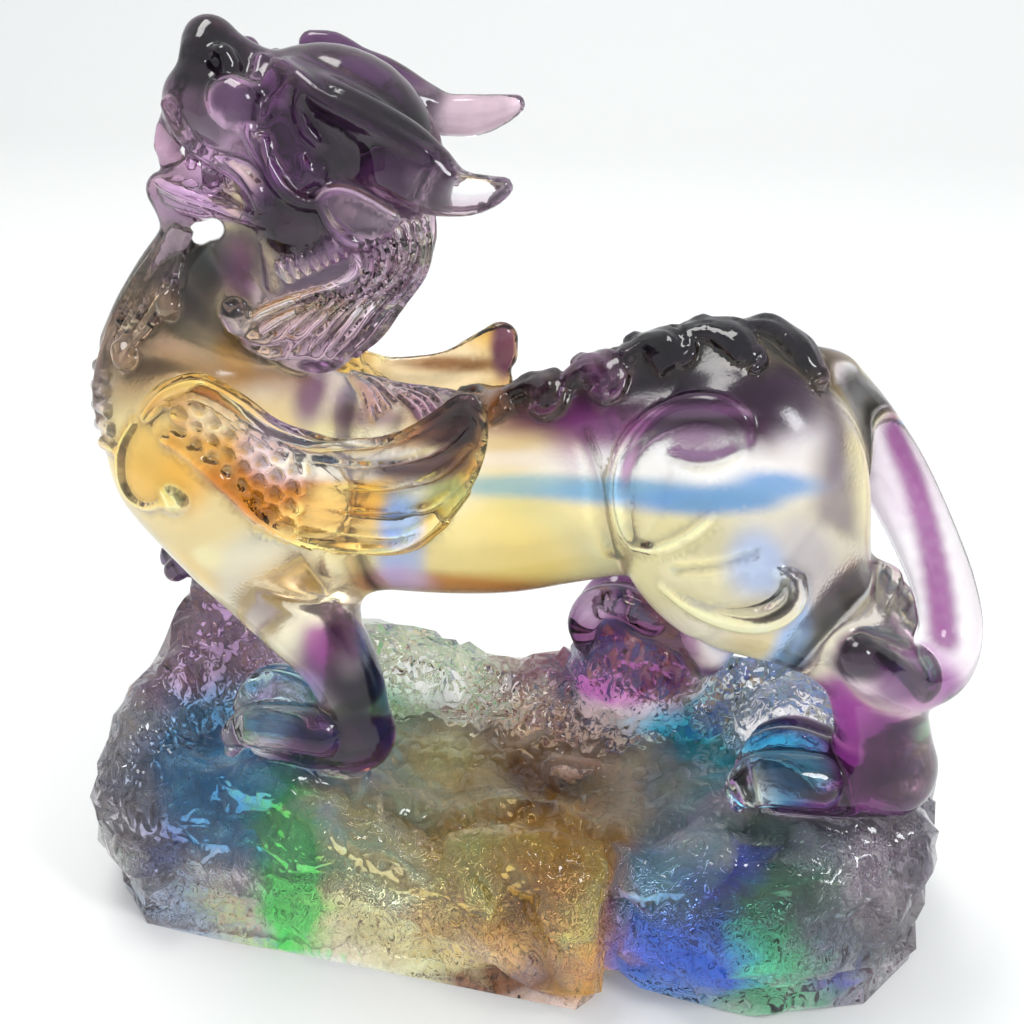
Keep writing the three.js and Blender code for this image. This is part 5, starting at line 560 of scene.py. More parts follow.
STAINS_AND_PAINTED_HIGHLIGHTS = [  # glass colours and a few painted highlights: part, colour, strength, softness, wobble in mm, centre, reach
    ('torso', 'ecd584', 0.85, 0.5, 3, (0.2, -22.6, 112.6), (32.3, 12.9, 260)),
    ('torso', 'eee0b0', 0.75, 0.5, 3, (-64.9, -32.8, 131.4), (22.7, 22.7, 260)),
    ('torso', '394046', 0.97, 0.35, 3, (-60.3, -15, 170.3), (11.4, 11.8, 260)),
    ('torso', 'b8a098', 0.9, 0.6, 3, (-72.9, -15.8, 157.4), (10.9, 9.6, 260)),
    ('torso', 'b08a62', 0.85, 0.7, 3, (-71.3, -21.9, 148.1), (15.8, 7.9, 260)),
    ('torso', 'b88a58', 0.85, 0.7, 3, (-54.2, -26.5, 147.5), (9.4, 4.5, 260)),
    ('body', '6a3c66', 0.9, 0.8, 1, (-50.5, -18.2, 169.4), (6, 7.2, 260)),
    ('body', '5a3054', 0.85, 0.5, 2, (-50.9, -14, 158.1), (5, 8.4, 260)),
    ('body', '7d5c38', 0.6, 0.6, 3, (-56.5, -16.2, 153.1), (7.1, 8.4, 260)),
    ('body', 'eadfd8', 0.85, 0.4, 3, (-46.4, -12.9, 139), (9.1, 5.6, 260)),
    # painted highlight: a white glare band across the shoulder below the mane
    ('body', 'f6f0ee', 0.93, 0.4, 3, (-42.9, -18, 151.9), (10.8, 3.3, 260)),
    ('body', 'b4823c', 0.85, 0.5, 2, (-56.5, -16.1, 151.6), (3.4, 5.5, 260)),
    ('body', 'e0cad8', 0.95, 0.4, 3, (-37.5, -1.7, 139.4), (14.3, 6.3, 260)),
    ('body', 'faf6f8', 0.85, 0.5, 3, (-30.9, -4.1, 137.3), (8.9, 3.1, 260)),
    ('body', '6d3f70', 0.9, 0.5, 3, (-45.3, -8.7, 140.2), (3.1, 9.6, 260)),
    ('body', '7c5080', 0.8, 0.6, 3, (-31.5, -11.5, 134.5), (8.7, 2.6, 260)),
    ('body', 'a07c58', 0.6, 0.6, 3, (-50.6, -9.7, 145), (4.3, 6.5, 260)),
    ('body', 'dcc08c', 0.92, 0.5, 3, (5.7, -15.1, 132), (21.3, 5.1, 260)),
    ('body', 'f8f4ec', 0.85, 0.5, 3, (-22.7, -29.4, 130), (18.5, 9, 260)),
    ('body', '9a6a58', 0.8, 0.5, 3, (-4.1, -6.4, 136), (15.3, 4.4, 260)),
    ('body', '5a3054', 0.9, 0.5, 3, (11.3, -8.1, 140.9), (14.1, 5.6, 260)),
    ('body', 'f6e9dc', 0.7, 0.6, 3, (-0.6, -16.5, 129.4), (10.7, 1.9, 260)),
    ('body', 'b86a2c', 0.92, 0.45, 3, (-11.2, -22, 99.2), (26.6, 3.8, 260)),
    ('body', 'faf7f6', 0.95, 0.4, 3, (39.2, -25.5, 134.4), (30.1, 7.6, 260)),
    ('body', '54204f', 0.97, 0.35, 3, (38.6, -19.3, 144), (34.3, 7.7, 260)),
    ('body', '8a4a86', 0.7, 0.6, 3, (22.6, -17.8, 138.1), (9.1, 5, 260)),
    ('body', '190c24', 0.99, 0.2, 3, (45.2, -6, 155), (37.3, 14.9, 260)),
    ('body', '150b1c', 0.9, 0.5, 3, (23.8, -7.4, 148), (12.6, 7.6, 260)),
    ('body', '4a3050', 0.8, 0.5, 3, (69, -14.6, 141.9), (2.4, 11.4, 260)),
    ('body', 'f4eef2', 0.8, 0.6, 3, (62.1, -20.8, 141.5), (6, 6.8, 260)),
    ('body', '82768a', 0.85, 0.6, 3, (70, -23.6, 128.2), (5.2, 15.3, 260)),
    ('body', '301032', 0.92, 0.5, 3, (55.2, -18.6, 147.5), (12.8, 6, 260)),
    ('body', '341034', 0.93, 0.4, 3, (40.5, -19.6, 144.6), (15.3, 4, 260)),
    ('body', 'fdfcfc', 0.97, 0.5, 1, (40.5, -23.9, 138.4), (10.8, 3, 260)),
    # painted highlight: a thin pale violet line along the dark rump
    ('body', 'b888b4', 0.75, 0.5, 1, (38.6, -19.4, 143.6), (10.1, 1.2, 260)),
    ('torso', 'e0d69c', 0.9, 0.4, 3, (38.5, -32, 114), (18.4, 10.6, 260)),
    ('torso', 'd8d4cc', 0.7, 0.5, 3, (57.7, -35.1, 119.8), (9.9, 11.9, 260)),
    ('body', '8cb2be', 0.97, 0.5, 1, (6.3, -19.8, 125.3), (17.8, 2.5, 44)),
    ('body', '6aa0c8', 0.97, 0.5, 1, (25.4, -23.5, 126.8), (15.3, 2.7, 44)),
    ('body', '5a90d0', 0.97, 0.5, 1, (40.6, -28.7, 128), (12.9, 2.8, 44)),
    ('body', '5a90d0', 0.95, 0.5, 1, (49.6, -29.6, 130.8), (8.7, 2.6, 44)),
    ('body', '6496d8', 0.97, 0.5, 1, (56.8, -28, 133.5), (8.7, 2.6, 44)),
    ('torso', '9db4ee', 0.9, 0.4, 3, (-22.5, -22.3, 107.2), (5.3, 9.7, 260)),
    ('torso', 'd8b0dc', 0.8, 0.6, 3, (-24, -17.1, 97.5), (6.8, 3.2, 260)),
    ('torso', 'a8c2f4', 0.85, 0.5, 3, (53.8, -35.7, 118.8), (5.9, 7.1, 260)),
    ('torso', 'b8b2bc', 0.7, 0.6, 3, (64.2, -32.5, 118.9), (5.2, 12, 260)),
    ('legs', 'd8ceb0', 0.9, 0.5, 3, (-52.1, -32.3, 113.2), (19.1, 11.9, 260)),
    ('legs', 'c8c0b4', 0.8, 0.5, 3, (-50.3, -33.1, 102.4), (8.6, 6.5, 260)),
    ('legs', 'd9b678', 0.7, 0.5, 3, (-42.9, -29.2, 103.4), (8.7, 5.7, 260)),
    ('legs', '5b2f66', 0.95, 0.35, 3, (-34.2, -29.2, 83.2), (11.2, 12.6, 260)),
    ('legs', '2a2440', 0.9, 0.4, 3, (-29.2, -26.8, 72.3), (7.8, 11.5, 260)),
    ('legs', '3b8a94', 0.85, 0.5, 3, (-25.5, -26, 74.9), (2.8, 10.1, 260)),
    ('legs', 'dfe4dc', 0.92, 0.45, 3, (-33.3, -27.7, 85.8), (3.6, 7.6, 260)),
    ('legs', '9a4a90', 0.85, 0.5, 3, (-38.8, -30.3, 88.2), (4, 5.8, 260)),
    ('legs', 'f4ecd6', 0.85, 0.6, 3, (-39.5, -28.7, 96.5), (4.8, 4, 260)),
    ('legs', 'a4c4dc', 0.95, 0.4, 3, (-55.1, -21.4, 66.7), (13.4, 7.2, 260)),
    ('legs', 'c4e4f4', 0.95, 0.5, 3, (-52, -22, 71.5), (8, 3.8, 260)),
    ('legs', '7a3f80', 0.85, 0.5, 3, (-39, -30, 61.9), (16.3, 4.2, 260)),
    ('legs', 'eef2f6', 0.97, 0.45, 3, (-57.3, -27.9, 63.7), (9.4, 7.1, 260)),
    ('legs', 'dcc88a', 0.85, 0.5, 3, (54, -34.9, 100.6), (4.9, 7.4, 260)),
    ('legs', '86b4f6', 0.9, 0.4, 3, (60.7, -32.7, 96.1), (3.7, 11.7, 260)),
    ('legs', 'a04a9c', 0.97, 0.3, 3, (78.9, -28.1, 74.9), (13.1, 17.5, 260)),
    ('legs', '6a2a6c', 0.8, 0.5, 3, (85.2, -30.2, 71.6), (3.5, 13, 260)),
    ('legs', '7c2f7c', 0.85, 0.5, 3, (75.3, -26.3, 62), (7.6, 9, 260)),
    ('legs', '8a4a86', 0.8, 0.5, 3, (79.8, -29.3, 57.9), (13.4, 3.1, 260)),
    ('legs', '58c8f0', 0.95, 0.35, 3, (64.7, -25.7, 62.7), (11.3, 7.7, 260)),
    ('legs', 'def0f4', 0.97, 0.45, 3, (58.3, -24.2, 54.6), (6.9, 6.5, 260)),
    ('legs', 'e4dcd8', 0.85, 0.5, 3, (72.2, -31.4, 108), (7.3, 7.3, 260)),
    ('legs', 'eee8e2', 0.95, 0.4, 3, (81.2, -25.6, 105.2), (7.5, 9.2, 260)),
    ('legs', '8c6084', 0.97, 0.35, 3, (35.1, 20, 68.1), (21.9, 12, 34)),
    ('legs', 'b8a4b8', 0.7, 0.5, 3, (20.9, 14, 76.5), (6.6, 5.1, 34)),
    ('legs', 'f0ece6', 0.9, 0.4, 3, (49.8, 20, 68.4), (4.2, 7.8, 34)),
    ('legs', '6a5a72', 0.8, 0.5, 3, (-92.3, 20, 78.8), (10.7, 6.4, 24)),
    ('tail', 'ece2ea', 0.9, 0.3, 3, (83, -4.5, 124.4), (17.3, 32.5, 260)),
    ('tail', 'f4eef2', 0.95, 0.3, 3, (97.8, -8.1, 99.9), (11.1, 20, 260)),
    ('tail', '8a4684', 0.93, 0.5, 0.4, (78.9, -1.7, 142.1), (3, 3.2, 6)),
    ('tail', '8a4684', 0.93, 0.5, 0.4, (80.4, -2.6, 139.1), (3, 3.2, 6)),
    ('tail', '8a4684', 0.93, 0.5, 0.4, (82.3, -2.7, 135.8), (3, 3.2, 6)),
    ('tail', '8a4684', 0.93, 0.5, 0.4, (83.9, -3.3, 132.6), (3, 3.2, 6)),
    ('tail', '8a4684', 0.93, 0.5, 0.4, (85.6, -3.4, 129.3), (3, 3.2, 6)),
    ('tail', '8a4684', 0.93, 0.5, 0.4, (87.5, -3.2, 125.7), (3, 3.2, 6)),
    ('tail', '8a4684', 0.93, 0.5, 0.4, (89.2, -3.6, 122.1), (3, 3.3, 6)),
    ('tail', '8a4684', 0.93, 0.5, 0.4, (90.7, -4.1, 118.3), (3.1, 3.3, 6)),
    ('tail', '8a4684', 0.93, 0.5, 0.4, (92.4, -4.2, 114.3), (3.1, 3.3, 6)),
    ('tail', '8a4684', 0.93, 0.5, 0.4, (93.8, -4.9, 110.3), (3.1, 3.3, 6)),
    ('tail', '8a4684', 0.93, 0.5, 0.4, (95.1, -5.7, 106), (3.1, 3.3, 6)),
    ('tail', '8a4684', 0.93, 0.5, 0.4, (96.2, -7.1, 102), (3.1, 3.3, 6)),
    ('tail', '8a4684', 0.93, 0.5, 0.4, (97.1, -8.9, 98.2), (3.1, 3.3, 6)),
    ('tail', '8a4684', 0.93, 0.5, 0.4, (97.6, -11.1, 94.7), (3.1, 3.3, 6)),
    ('tail', '8a4684', 0.93, 0.5, 0.4, (97.6, -14.6, 92), (3.1, 3.3, 6)),
    ('tail', 'a060a0', 0.9, 0.45, 3, (92.5, -29.5, 87.6), (9.3, 5.1, 260)),
    ('animal', 'f4f0f2', 0.95, 0.4, 3, (75.8, -3.3, 144.8), (7.1, 9.7, 260)),
    ('tail', '1a1020', 0.98, 0.35, 3, (73.6, -37.6, 98.7), (11.7, 5.7, 260)),
    ('tail', '5c3064', 0.9, 0.5, 3, (83.6, -36.3, 92.2), (6.2, 4.1, 260)),
    ('head', '4c2e54', 0.85, 0.4, 3, (-32.1, -20.1, 194), (20.8, 17, 260)),
    ('head', '241628', 0.97, 0.3, 3, (-25.4, -22.5, 199.9), (19.3, 10.3, 260)),
    ('head', '6a3a6c', 0.9, 0.4, 3, (-22.1, -23.2, 188.9), (9.4, 4.9, 260)),
    ('head', '160d1c', 0.97, 0.3, 3, (-57.1, -11.6, 210.5), (8.8, 7.6, 260)),
    ('head', '4e2456', 0.85, 0.4, 3, (-43.8, -15.7, 204), (4.2, 4.9, 260)),
    ('head', 'a678ac', 0.85, 0.4, 3, (-50.4, -17.6, 202.3), (4.9, 4.2, 260)),
    ('head', 'c8a8c8', 0.85, 0.4, 3, (-55.1, -14.4, 189.6), (8.7, 7.9, 260)),
    ('head', 'b998bc', 0.8, 0.5, 3, (-63.5, -13.9, 181.5), (10, 5.2, 260)),
    ('head', '1a1020', 0.95, 0.3, 3, (-39.6, -23.4, 181), (8.8, 6.9, 260)),
    ('body', '1f1426', 0.95, 0.35, 3, (-43.2, -14, 176.7), (9.2, 6.8, 260)),
    ('head', '4e2a56', 0.85, 0.4, 3, (-40.3, -22.3, 192.3), (5.7, 8.7, 260)),
    ('head', '8a5f86', 0.8, 0.4, 3, (-29.3, -17.7, 181.3), (6.6, 5.1, 260)),
    ('mane', 'decad4', 0.9, 0.4, 3, (-23.3, -12.9, 169.3), (16.2, 16.2, 260)),
    ('mane', 'dcc2a8', 0.75, 0.5, 3, (-41.5, -17.8, 159.2), (10.2, 5.3, 260)),
    ('mane', 'a07ca2', 0.8, 0.5, 3, (-33.7, -19.5, 174.7), (10.6, 4.3, 260)),
    ('mane', 'a488a2', 0.7, 0.5, 3, (-36.7, -13.9, 153.2), (14.7, 4.2, 260)),
    ('mane', '2a1f2c', 0.95, 0.4, 3, (-55.2, -16, 159.6), (2.9, 3.3, 260)),
    ('animal', '1c1022', 0.96, 0.35, 1, (-38.9, -23.2, 181), (6.9, 5.8, 120)),
    ('horn', 'ceb8c2', 0.97, 0.35, 3, (-4.3, 14, 196.8), (13.9, 6.3, 16)),
    ('horn', '2c1830', 0.95, 0.35, 3, (-23, 12, 200.4), (6.3, 4.6, 16)),
    ('horn', 'f4f3f4', 0.97, 0.35, 3, (-7.1, -20, 186.8), (7.6, 4.5, 14)),
    ('horn', 'e2d0da', 0.85, 0.4, 3, (-14.3, -20, 187.7), (3.4, 4.5, 14)),
    ('horn', '4a4250', 0.9, 0.5, 3, (2.5, -20, 188.1), (1.9, 2.6, 14)),
    ('beard', '9a8894', 0.8, 0.5, 3, (-69, -9.4, 168.9), (8.4, 8.4, 260)),
    ('beard', 'dcc0a8', 0.7, 0.6, 3, (-79.8, -5, 151.8), (8.8, 7.9, 260)),
    ('beard', 'cfc6d4', 0.85, 0.5, 3, (-96.9, 0, 132.5), (7.9, 16.3, 260)),
    ('wing', 'c08838', 0.9, 0.5, 3, (-54.8, -29.8, 132.5), (22.8, 14.5, 260)),
    ('wing', 'a85c10', 0.95, 0.4, 3, (-49.3, -29.6, 123.9), (15.1, 6.7, 260)),
    ('wing', 'd8c4e2', 0.92, 0.35, 3, (-44.9, -30.5, 135.6), (7, 7, 260)),
    ('wing', 'efe0c4', 0.7, 0.5, 3, (-55.7, -28.9, 140.3), (7, 3.7, 260)),
    ('wing', 'ecd9b0', 0.85, 0.5, 3, (-29.6, -29.4, 137.3), (12.2, 2, 260)),
    ('wing', 'fbf6f8', 0.97, 0.35, 3, (-31.2, -28.6, 131.4), (13.6, 3.7, 260)),
    ('wing', 'f8cc70', 0.9, 0.4, 3, (-30.6, -28.5, 124.5), (9.2, 2.5, 260)),
    ('wing', 'f4bc60', 0.9, 0.4, 3, (-35, -29.2, 119.9), (10.5, 2.9, 260)),
    ('wing', 'd5dfe8', 0.85, 0.5, 3, (-15.7, -28.4, 125.3), (7.5, 3.3, 260)),
    ('wing', '94b8f0', 0.92, 0.4, 3, (-20.8, -27.8, 117.7), (5.1, 5.5, 260)),
    ('wing', 'c8c888', 0.85, 0.5, 3, (-9.7, -27.3, 124), (5, 4.6, 260)),
    ('wing', '40243e', 0.97, 0.35, 3, (-8.3, -30.1, 142.6), (8.3, 8.3, 260)),
    ('wing', '4a2644', 0.9, 0.4, 3, (-15.7, -29.4, 131.3), (12.3, 2.5, 260)),
    ('wing', 'fbf8fa', 0.85, 0.5, 3, (-19.3, -29.8, 134.4), (8.9, 1.4, 260)),
    ('wing', '9a6c60', 0.85, 0.5, 3, (-19, -30.1, 138.6), (8.9, 1.8, 260)),
    ('wing', 'e9d6b4', 0.92, 0.4, 3, (-23.9, 28, 131.6), (17.4, 7.4, 20)),
    ('wing', '8a5a30', 0.85, 0.5, 3, (-18.9, 28, 132.7), (14.8, 1.7, 20)),
    ('wing', '6d3f60', 0.92, 0.4, 3, (-6.4, 28, 138.4), (3.4, 8.3, 20)),
    ('locks', 'b898b8', 0.95, 0.4, 3, (-25.3, -15, 141.8), (12.7, 6.4, 260)),
    ('locks', 'b0703c', 0.9, 0.4, 3, (-4.5, -12, 141.6), (7.2, 5.5, 260)),
    ('locks', '5a3d4a', 0.85, 0.4, 3, (7.4, -12, 144.5), (7.6, 6.3, 260)),
    ('locks', '7c5078', 0.8, 0.4, 3, (19.8, -12, 149.5), (7.5, 6.2, 260)),
    ('locks', '1a1222', 0.98, 0.25, 3, (45.9, -12, 156), (24.3, 12.1, 260)),
    ('torso', 'e6e0cc', 0.95, 0.45, 3, (-63.4, -33.7, 115.6), (16.9, 7.2, 260)),
    ('torso', 'e4bc68', 0.97, 0.3, 2, (-70.7, -32.1, 132.2), (9.9, 9.5, 260)),
    ('torso', 'eeb64e', 0.8, 0.5, 3, (-62.4, -33.6, 128.8), (4.5, 6.6, 260)),
    ('torso', 'f8ec9c', 0.95, 0.3, 1, (-66.7, -33.9, 125), (2.5, 2.9, 260)),
    ('rock', 'f2eaf2', 0.95, 0.35, 3, (-89.3, -22.6, 45.7), (19.9, 42.3, 260)),
    ('rock', '9a72a4', 0.95, 0.35, 3, (-84.5, 8.1, 61.6), (20.2, 18.6, 60)),
    ('rock', '847692', 0.95, 0.35, 3, (-85.1, -36, 0.5), (19, 15.4, 260)),
    ('rock', 'c8c0cc', 0.8, 0.5, 5, (-73.6, -34.9, 11.2), (8.6, 10.1, 260)),
    ('rock', '2c8fd8', 0.95, 0.3, 6, (-70.6, -10.5, 42.7), (28.3, 12.9, 50)),
    ('rock', '3496dc', 0.97, 0.14, 3, (-70.5, -34, 39.1), (13, 13.5, 260)),
    ('rock', '2a58c0', 0.85, 0.4, 6, (-80.9, -34, 17.9), (6.5, 15, 260)),
    ('rock', 'e8c27a', 0.8, 0.4, 3, (-69, -35.4, 3.7), (7.6, 10.2, 260)),
    ('rock', 'fff09c', 0.98, 0.3, 6, (-24.3, -40.5, 24.5), (29.7, 25.2, 260)),
    ('rock', 'f6e6c0', 0.8, 0.5, 5, (-41.1, -38.6, 0.4), (12.5, 6, 260)),
    ('rock', '3ad048', 0.99, 0.14, 2.5, (-50.1, -37.5, 24.9), (10.2, 29.1, 260)),
    ('rock', 'ffe6a4', 0.95, 0.4, 6, (-7.8, -20.8, 40), (34.3, 11.3, 260)),
    ('rock', 'e4b868', 0.8, 0.5, 6, (9.7, -24, 39.9), (19.3, 7.2, 260)),
    ('rock', 'f2a83c', 0.97, 0.3, 7, (15.3, -44.9, 36.9), (25.3, 22.6, 260)),
    ('rock', 'f4c860', 0.85, 0.5, 6, (-4.5, -42.9, 35.6), (9.2, 11.5, 260)),
    ('rock', 'c98a2c', 0.8, 0.5, 4, (-16, -41.4, 21.7), (3.8, 9.5, 260)),
    ('rock', 'b86a18', 0.75, 0.5, 6, (7.3, -44.2, 30.5), (5.5, 10.6, 260)),
    ('rock', 'c8781c', 0.9, 0.4, 5, (28.4, -36.6, 7.5), (14.5, 12.1, 260)),
    ('rock', '5a3030', 0.97, 0.2, 3, (14.7, -3.4, 37.3), (12.9, 5.9, 60)),
    ('rock', '5c2c14', 0.99, 0.15, 3, (5.6, -43.9, 2.4), (17.8, 7.7, 260)),
    ('rock', 'f0f4ee', 0.97, 0.35, 3, (-24.6, 17.7, 50.6), (27.2, 13.6, 60)),
    ('rock', '86d896', 0.85, 0.4, 5, (-10.5, 0, 72.8), (12.4, 4, 60)),
    ('rock', 'a8d8b0', 0.8, 0.5, 5, (-31.2, 7.6, 40.7), (9.7, 5.4, 60)),
    ('rock', '8a3c80', 0.98, 0.25, 4, (21.6, 9.5, 62.5), (29.8, 10.8, 60)),
    ('rock', 'b08c80', 0.85, 0.4, 6, (19.5, 11.3, 41.9), (21.3, 6.4, 60)),
    ('rock', '20bcec', 0.99, 0.22, 4, (47.9, 9, 42.8), (15.7, 8.9, 60)),
    ('rock', 'f8e0b0', 0.95, 0.4, 6, (31.5, -12.8, 39.5), (14.4, 8.4, 260)),
    ('rock', '9ccfe0', 0.85, 0.4, 6, (48.9, -27.9, 41.4), (10.3, 5.6, 260)),
    ('rock', '2a5cd0', 0.98, 0.25, 6, (50.6, -40.4, 24.3), (19.9, 19.9, 260)),
    ('rock', 'a8ccd8', 0.85, 0.4, 6, (45.5, -34.7, 40.3), (9.2, 5.5, 260)),
    ('rock', '1440e0', 0.92, 0.4, 6, (47.2, -39.8, 13.5), (14.2, 9.4, 260)),
    ('rock', '7ec4f0', 0.8, 0.5, 6, (39.1, -38, 31.4), (7.9, 6, 260)),
    ('rock', 'c8e2ea', 0.95, 0.35, 6, (66.8, -32.3, 42.9), (13.7, 7.3, 260)),
    ('rock', '2f9050', 0.9, 0.4, 4, (62.5, -27.1, 44.9), (7.9, 2.8, 260)),
    ('rock', '3c9060', 0.9, 0.4, 6, (73.6, -39.6, 35.7), (11.3, 9, 260)),
    ('rock', '206a40', 0.9, 0.4, 6, (71.5, -40.3, 34.6), (9.9, 5.9, 260)),
    ('rock', '566078', 0.92, 0.35, 6, (84.7, -36.9, 20.3), (15.3, 13, 260)),
    ('rock', '4a48b8', 0.85, 0.4, 5, (80, -38.1, 11.1), (7.1, 5.6, 260)),
    ('rock', '30b860', 0.9, 0.35, 5, (65.2, -42, 18.4), (6.9, 11.5, 260)),
    ('rock', '6c6476', 0.95, 0.35, 3, (103.1, -20, 31), (10.5, 26.3, 260)),
    ('rock', 'e8eef0', 0.95, 0.35, 3, (65, 9.4, 57.7), (16.8, 14.2, 50)),
    ('rock', '141c38', 0.93, 0.3, 6, (81.7, -22.1, 50.4), (13.9, 7, 260)),
    ('rock', '16402c', 0.9, 0.3, 6, (61.2, -32.4, 42.5), (6.9, 5.5, 260)),
    ('rock', '1420c0', 0.9, 0.4, 6, (58, -42.1, 34.7), (4.5, 7.7, 260)),
    ('rock', 'ecd8e8', 0.85, 0.4, 6, (93.5, -30.7, 4.7), (7.3, 6.3, 260)),
    ('rock', '3c8a5c', 0.92, 0.4, 4, (67.7, -41.5, 4.3), (16.6, 5.2, 260)),
    ('rock', '3a60c8', 0.92, 0.4, 4, (45.3, -46, 7), (11.7, 5.1, 260)),
    ('rock', '5a5068', 0.9, 0.4, 4, (86, -36.7, 2.1), (12, 5.7, 260)),
    ('rock', 'b8741c', 0.93, 0.4, 4, (24.3, -46, 4), (8.5, 6.2, 260)),
    ('rock', '3c2440', 0.5, 0.5, 6, (-86.4, -33.5, 26.6), (6.4, 14.9, 260)),
    ('rock', '5ac880', 0.85, 0.4, 5, (-45.9, 11.8, 42.9), (13.6, 4.4, 50)),
    ('rock', 'a09aa8', 0.9, 0.5, 5, (-86, -33.5, 1.3), (13.9, 11.9, 260)),
]

# ---- the animal ----
F = Field(LOW, HIGH, GRID)
for c, r, k, m in MASSES:
    ellipsoid(F, c, r, k, m)
def carve(rows):
    for m, k, mirror, flat, op, pts in rows:
        tube(F, pts, k, m, flat, op)
        if mirror:
            y0 = MIDHEAD if mirror == 1 else 0.0
            far = [(p[0], 2 * y0 - p[1], p[2] - (2.4 if mirror == 3 else 0.0), p[3]) for p in pts]
            ff = ((flat[0][0], -flat[0][1], flat[0][2]), flat[1]) if flat else None
            tube(F, far, k, m, ff, op)
carve(FORMS)
carve(CARVING)
ANIMAL = F.d.copy()

# ---- the rock ----
def rock_top(x, y):
    h = ROCK_LEVEL + 0 * x
    for a, b, c, sx, sy in ROCK_LUMPS:
        h = h + c * np.exp(-((x - a) / sx) ** 2 - ((y - b) / sy) ** 2)
    return h
sl, x, y, z = F.sub((LOW[0], LOW[1], -1), (HIGH[0], HIGH[1], 92))
X, Y = [np.asarray(t, float)[:, :, 0] for t in np.broadcast_arrays(x, y)]
edge = np.full(X.shape, 1e9)
inside = np.zeros(X.shape, bool)
for i in range(len(ROCK_OUTLINE)):
    a, b = np.array(ROCK_OUTLINE[i], float), np.array(ROCK_OUTLINE[(i + 1) % len(ROCK_OUTLINE)], float)
    e = b - a
    t = np.clip(((X - a[0]) * e[0] + (Y - a[1]) * e[1]) / (e @ e), 0, 1)
    edge = np.minimum(edge, np.hypot(X - a[0] - t * e[0], Y - a[1] - t * e[1]))
    inside ^= ((a[1] > Y) != (b[1] > Y)) & (X < (b[0] - a[0]) * (Y - a[1]) / (b[1] - a[1] + 1e-12) + a[0])
side = np.where(inside, -edge, edge)[:, :, None].astype(f32) + f32(ROCK_LEAN) * np.maximum(z - 36, 0)
top = rock_top(X, Y)[:, :, None].astype(f32)
rock = smax(smax(side, (z - top) * f32(0.8), 4), -z + 0 * side, 0).astype(f32)
for c, r, k in ROCK_BOULDERS:
    q = [(x - f32(c[0])), (y - f32(c[1])), (z - f32(c[2]))]
    k0 = np.sqrt(sum((q[i] / f32(r[i])) ** 2 for i in range(3)))
    k1 = np.sqrt(sum((q[i] / f32(r[i] ** 2)) ** 2 for i in range(3)))
    rock = smin(rock, (k0 * (k0 - 1) / np.maximum(k1, 1e-6)).astype(f32), k)
R = Field(LOW, (LOW[0] + 1, LOW[1] + 1, LOW[2] + 1), GRID)
R.n, R.d, R.m = F.n, np.full(F.d.shape, 60.0, f32), np.zeros(F.d.shape, np.uint8)
R.d[sl] = rock
for m, k, mirror, flat, op, pts in LEDGES:
    tube(R, pts, k, m, flat, op)
rock = smax(R.d[sl], -z + 0 * side, 0).astype(f32)
ROCK = R.d
put(F, sl, rock, 1.2, 0, "add")

verts, quads = surface(F)

def normals(v, q):
    n = np.zeros_like(v)
    fn = np.cross(v[q[:, 2]] - v[q[:, 0]], v[q[:, 3]] - v[q[:, 1]])
    for i in range(4):
        for a in range(3):
            n[:, a] += np.bincount(q[:, i], fn[:, a], len(v))
    return n / (np.linalg.norm(n, axis=1)[:, None] + 1e-9)

def ridged(p, size, seed):
    w = np.stack([lattice(p / (size * 1.7) + s, seed + s) for s in (1, 2, 3)], 1) * 0.45
    return 1 - 2 * np.abs(lattice(p / size + w, seed + 9))

def relief(v, n):
    """How far the rock's surface stands out at v: broad ledges, chipped facets and a fine hammered skin."""
    far = smooth01((F.at(v, ANIMAL) - 0.4) / 3.0) * smooth01((0.9 - np.abs(F.at(v, ROCK))) / 0.8 + 0.2)
    far = far * smooth01((v[:, 2] - 0.4) / 3.0)
    p = v * np.array([1.0, 1.0, 1.25])
    g = 1.6 * lattice(p / 15.0, 3) + 1.5 * ridged(p, 7.5, 21) + 0.75 * ridged(p, 3.7, 41)
    return far * (g - 1.0)

body = v_rock = F.at(verts, ANIMAL)
near = np.nonzero(v_rock > 0.3)[0]
nrm = normals(verts, quads)
push = np.zeros(len(verts))
push[near] = relief(verts[near], nrm[near])
verts = verts + nrm * push[:, None]
verts[:, 2] = np.maximum(verts[:, 2], 0.0)

# ---- one closed mesh ----
mesh = bpy.data.meshes.new("pixiu_glass")
mesh.vertices.add(len(verts))
mesh.vertices.foreach_set("co", ((verts + SHIFT) / 1000.0).astype(f32).ravel())
mesh.loops.add(quads.size)
mesh.loops.foreach_set("vertex_index", quads.astype(np.int32).ravel())
mesh.polygons.add(len(quads))
mesh.polygons.foreach_set("loop_start", np.arange(0, quads.size, 4, dtype=np.int32))
mesh.polygons.foreach_set("loop_total", np.full(len(quads), 4, np.int32))
mesh.update(calc_edges=True)
mesh.validate()
glass = bpy.data.objects.new("pixiu_glass", mesh)
bpy.context.scene.collection.objects.link(glass)
group = glass.vertex_groups.new(name="thin")     # the rock may be thinned more than the carving
coarse = np.nonzero(F.at(verts, ANIMAL) > 1.2)[0]
group.add([int(i) for i in coarse], 1.0, "REPLACE")
group.add([int(i) for i in np.setdiff1d(np.arange(len(verts)), coarse)], CARVING_SHARE, "REPLACE")
thin = glass.modifiers.new("thin", "DECIMATE")
thin.vertex_group = "thin"
thin.vertex_group_factor = 1.0
thin.ratio = TRIANGLES / (2.0 * len(quads))
dg = bpy.context.evaluated_depsgraph_get()
final = bpy.data.meshes.new_from_object(glass.evaluated_get(dg))
glass.modifiers.clear()
glass.data = final
bpy.data.meshes.remove(mesh)
final.name = "pixiu_glass"
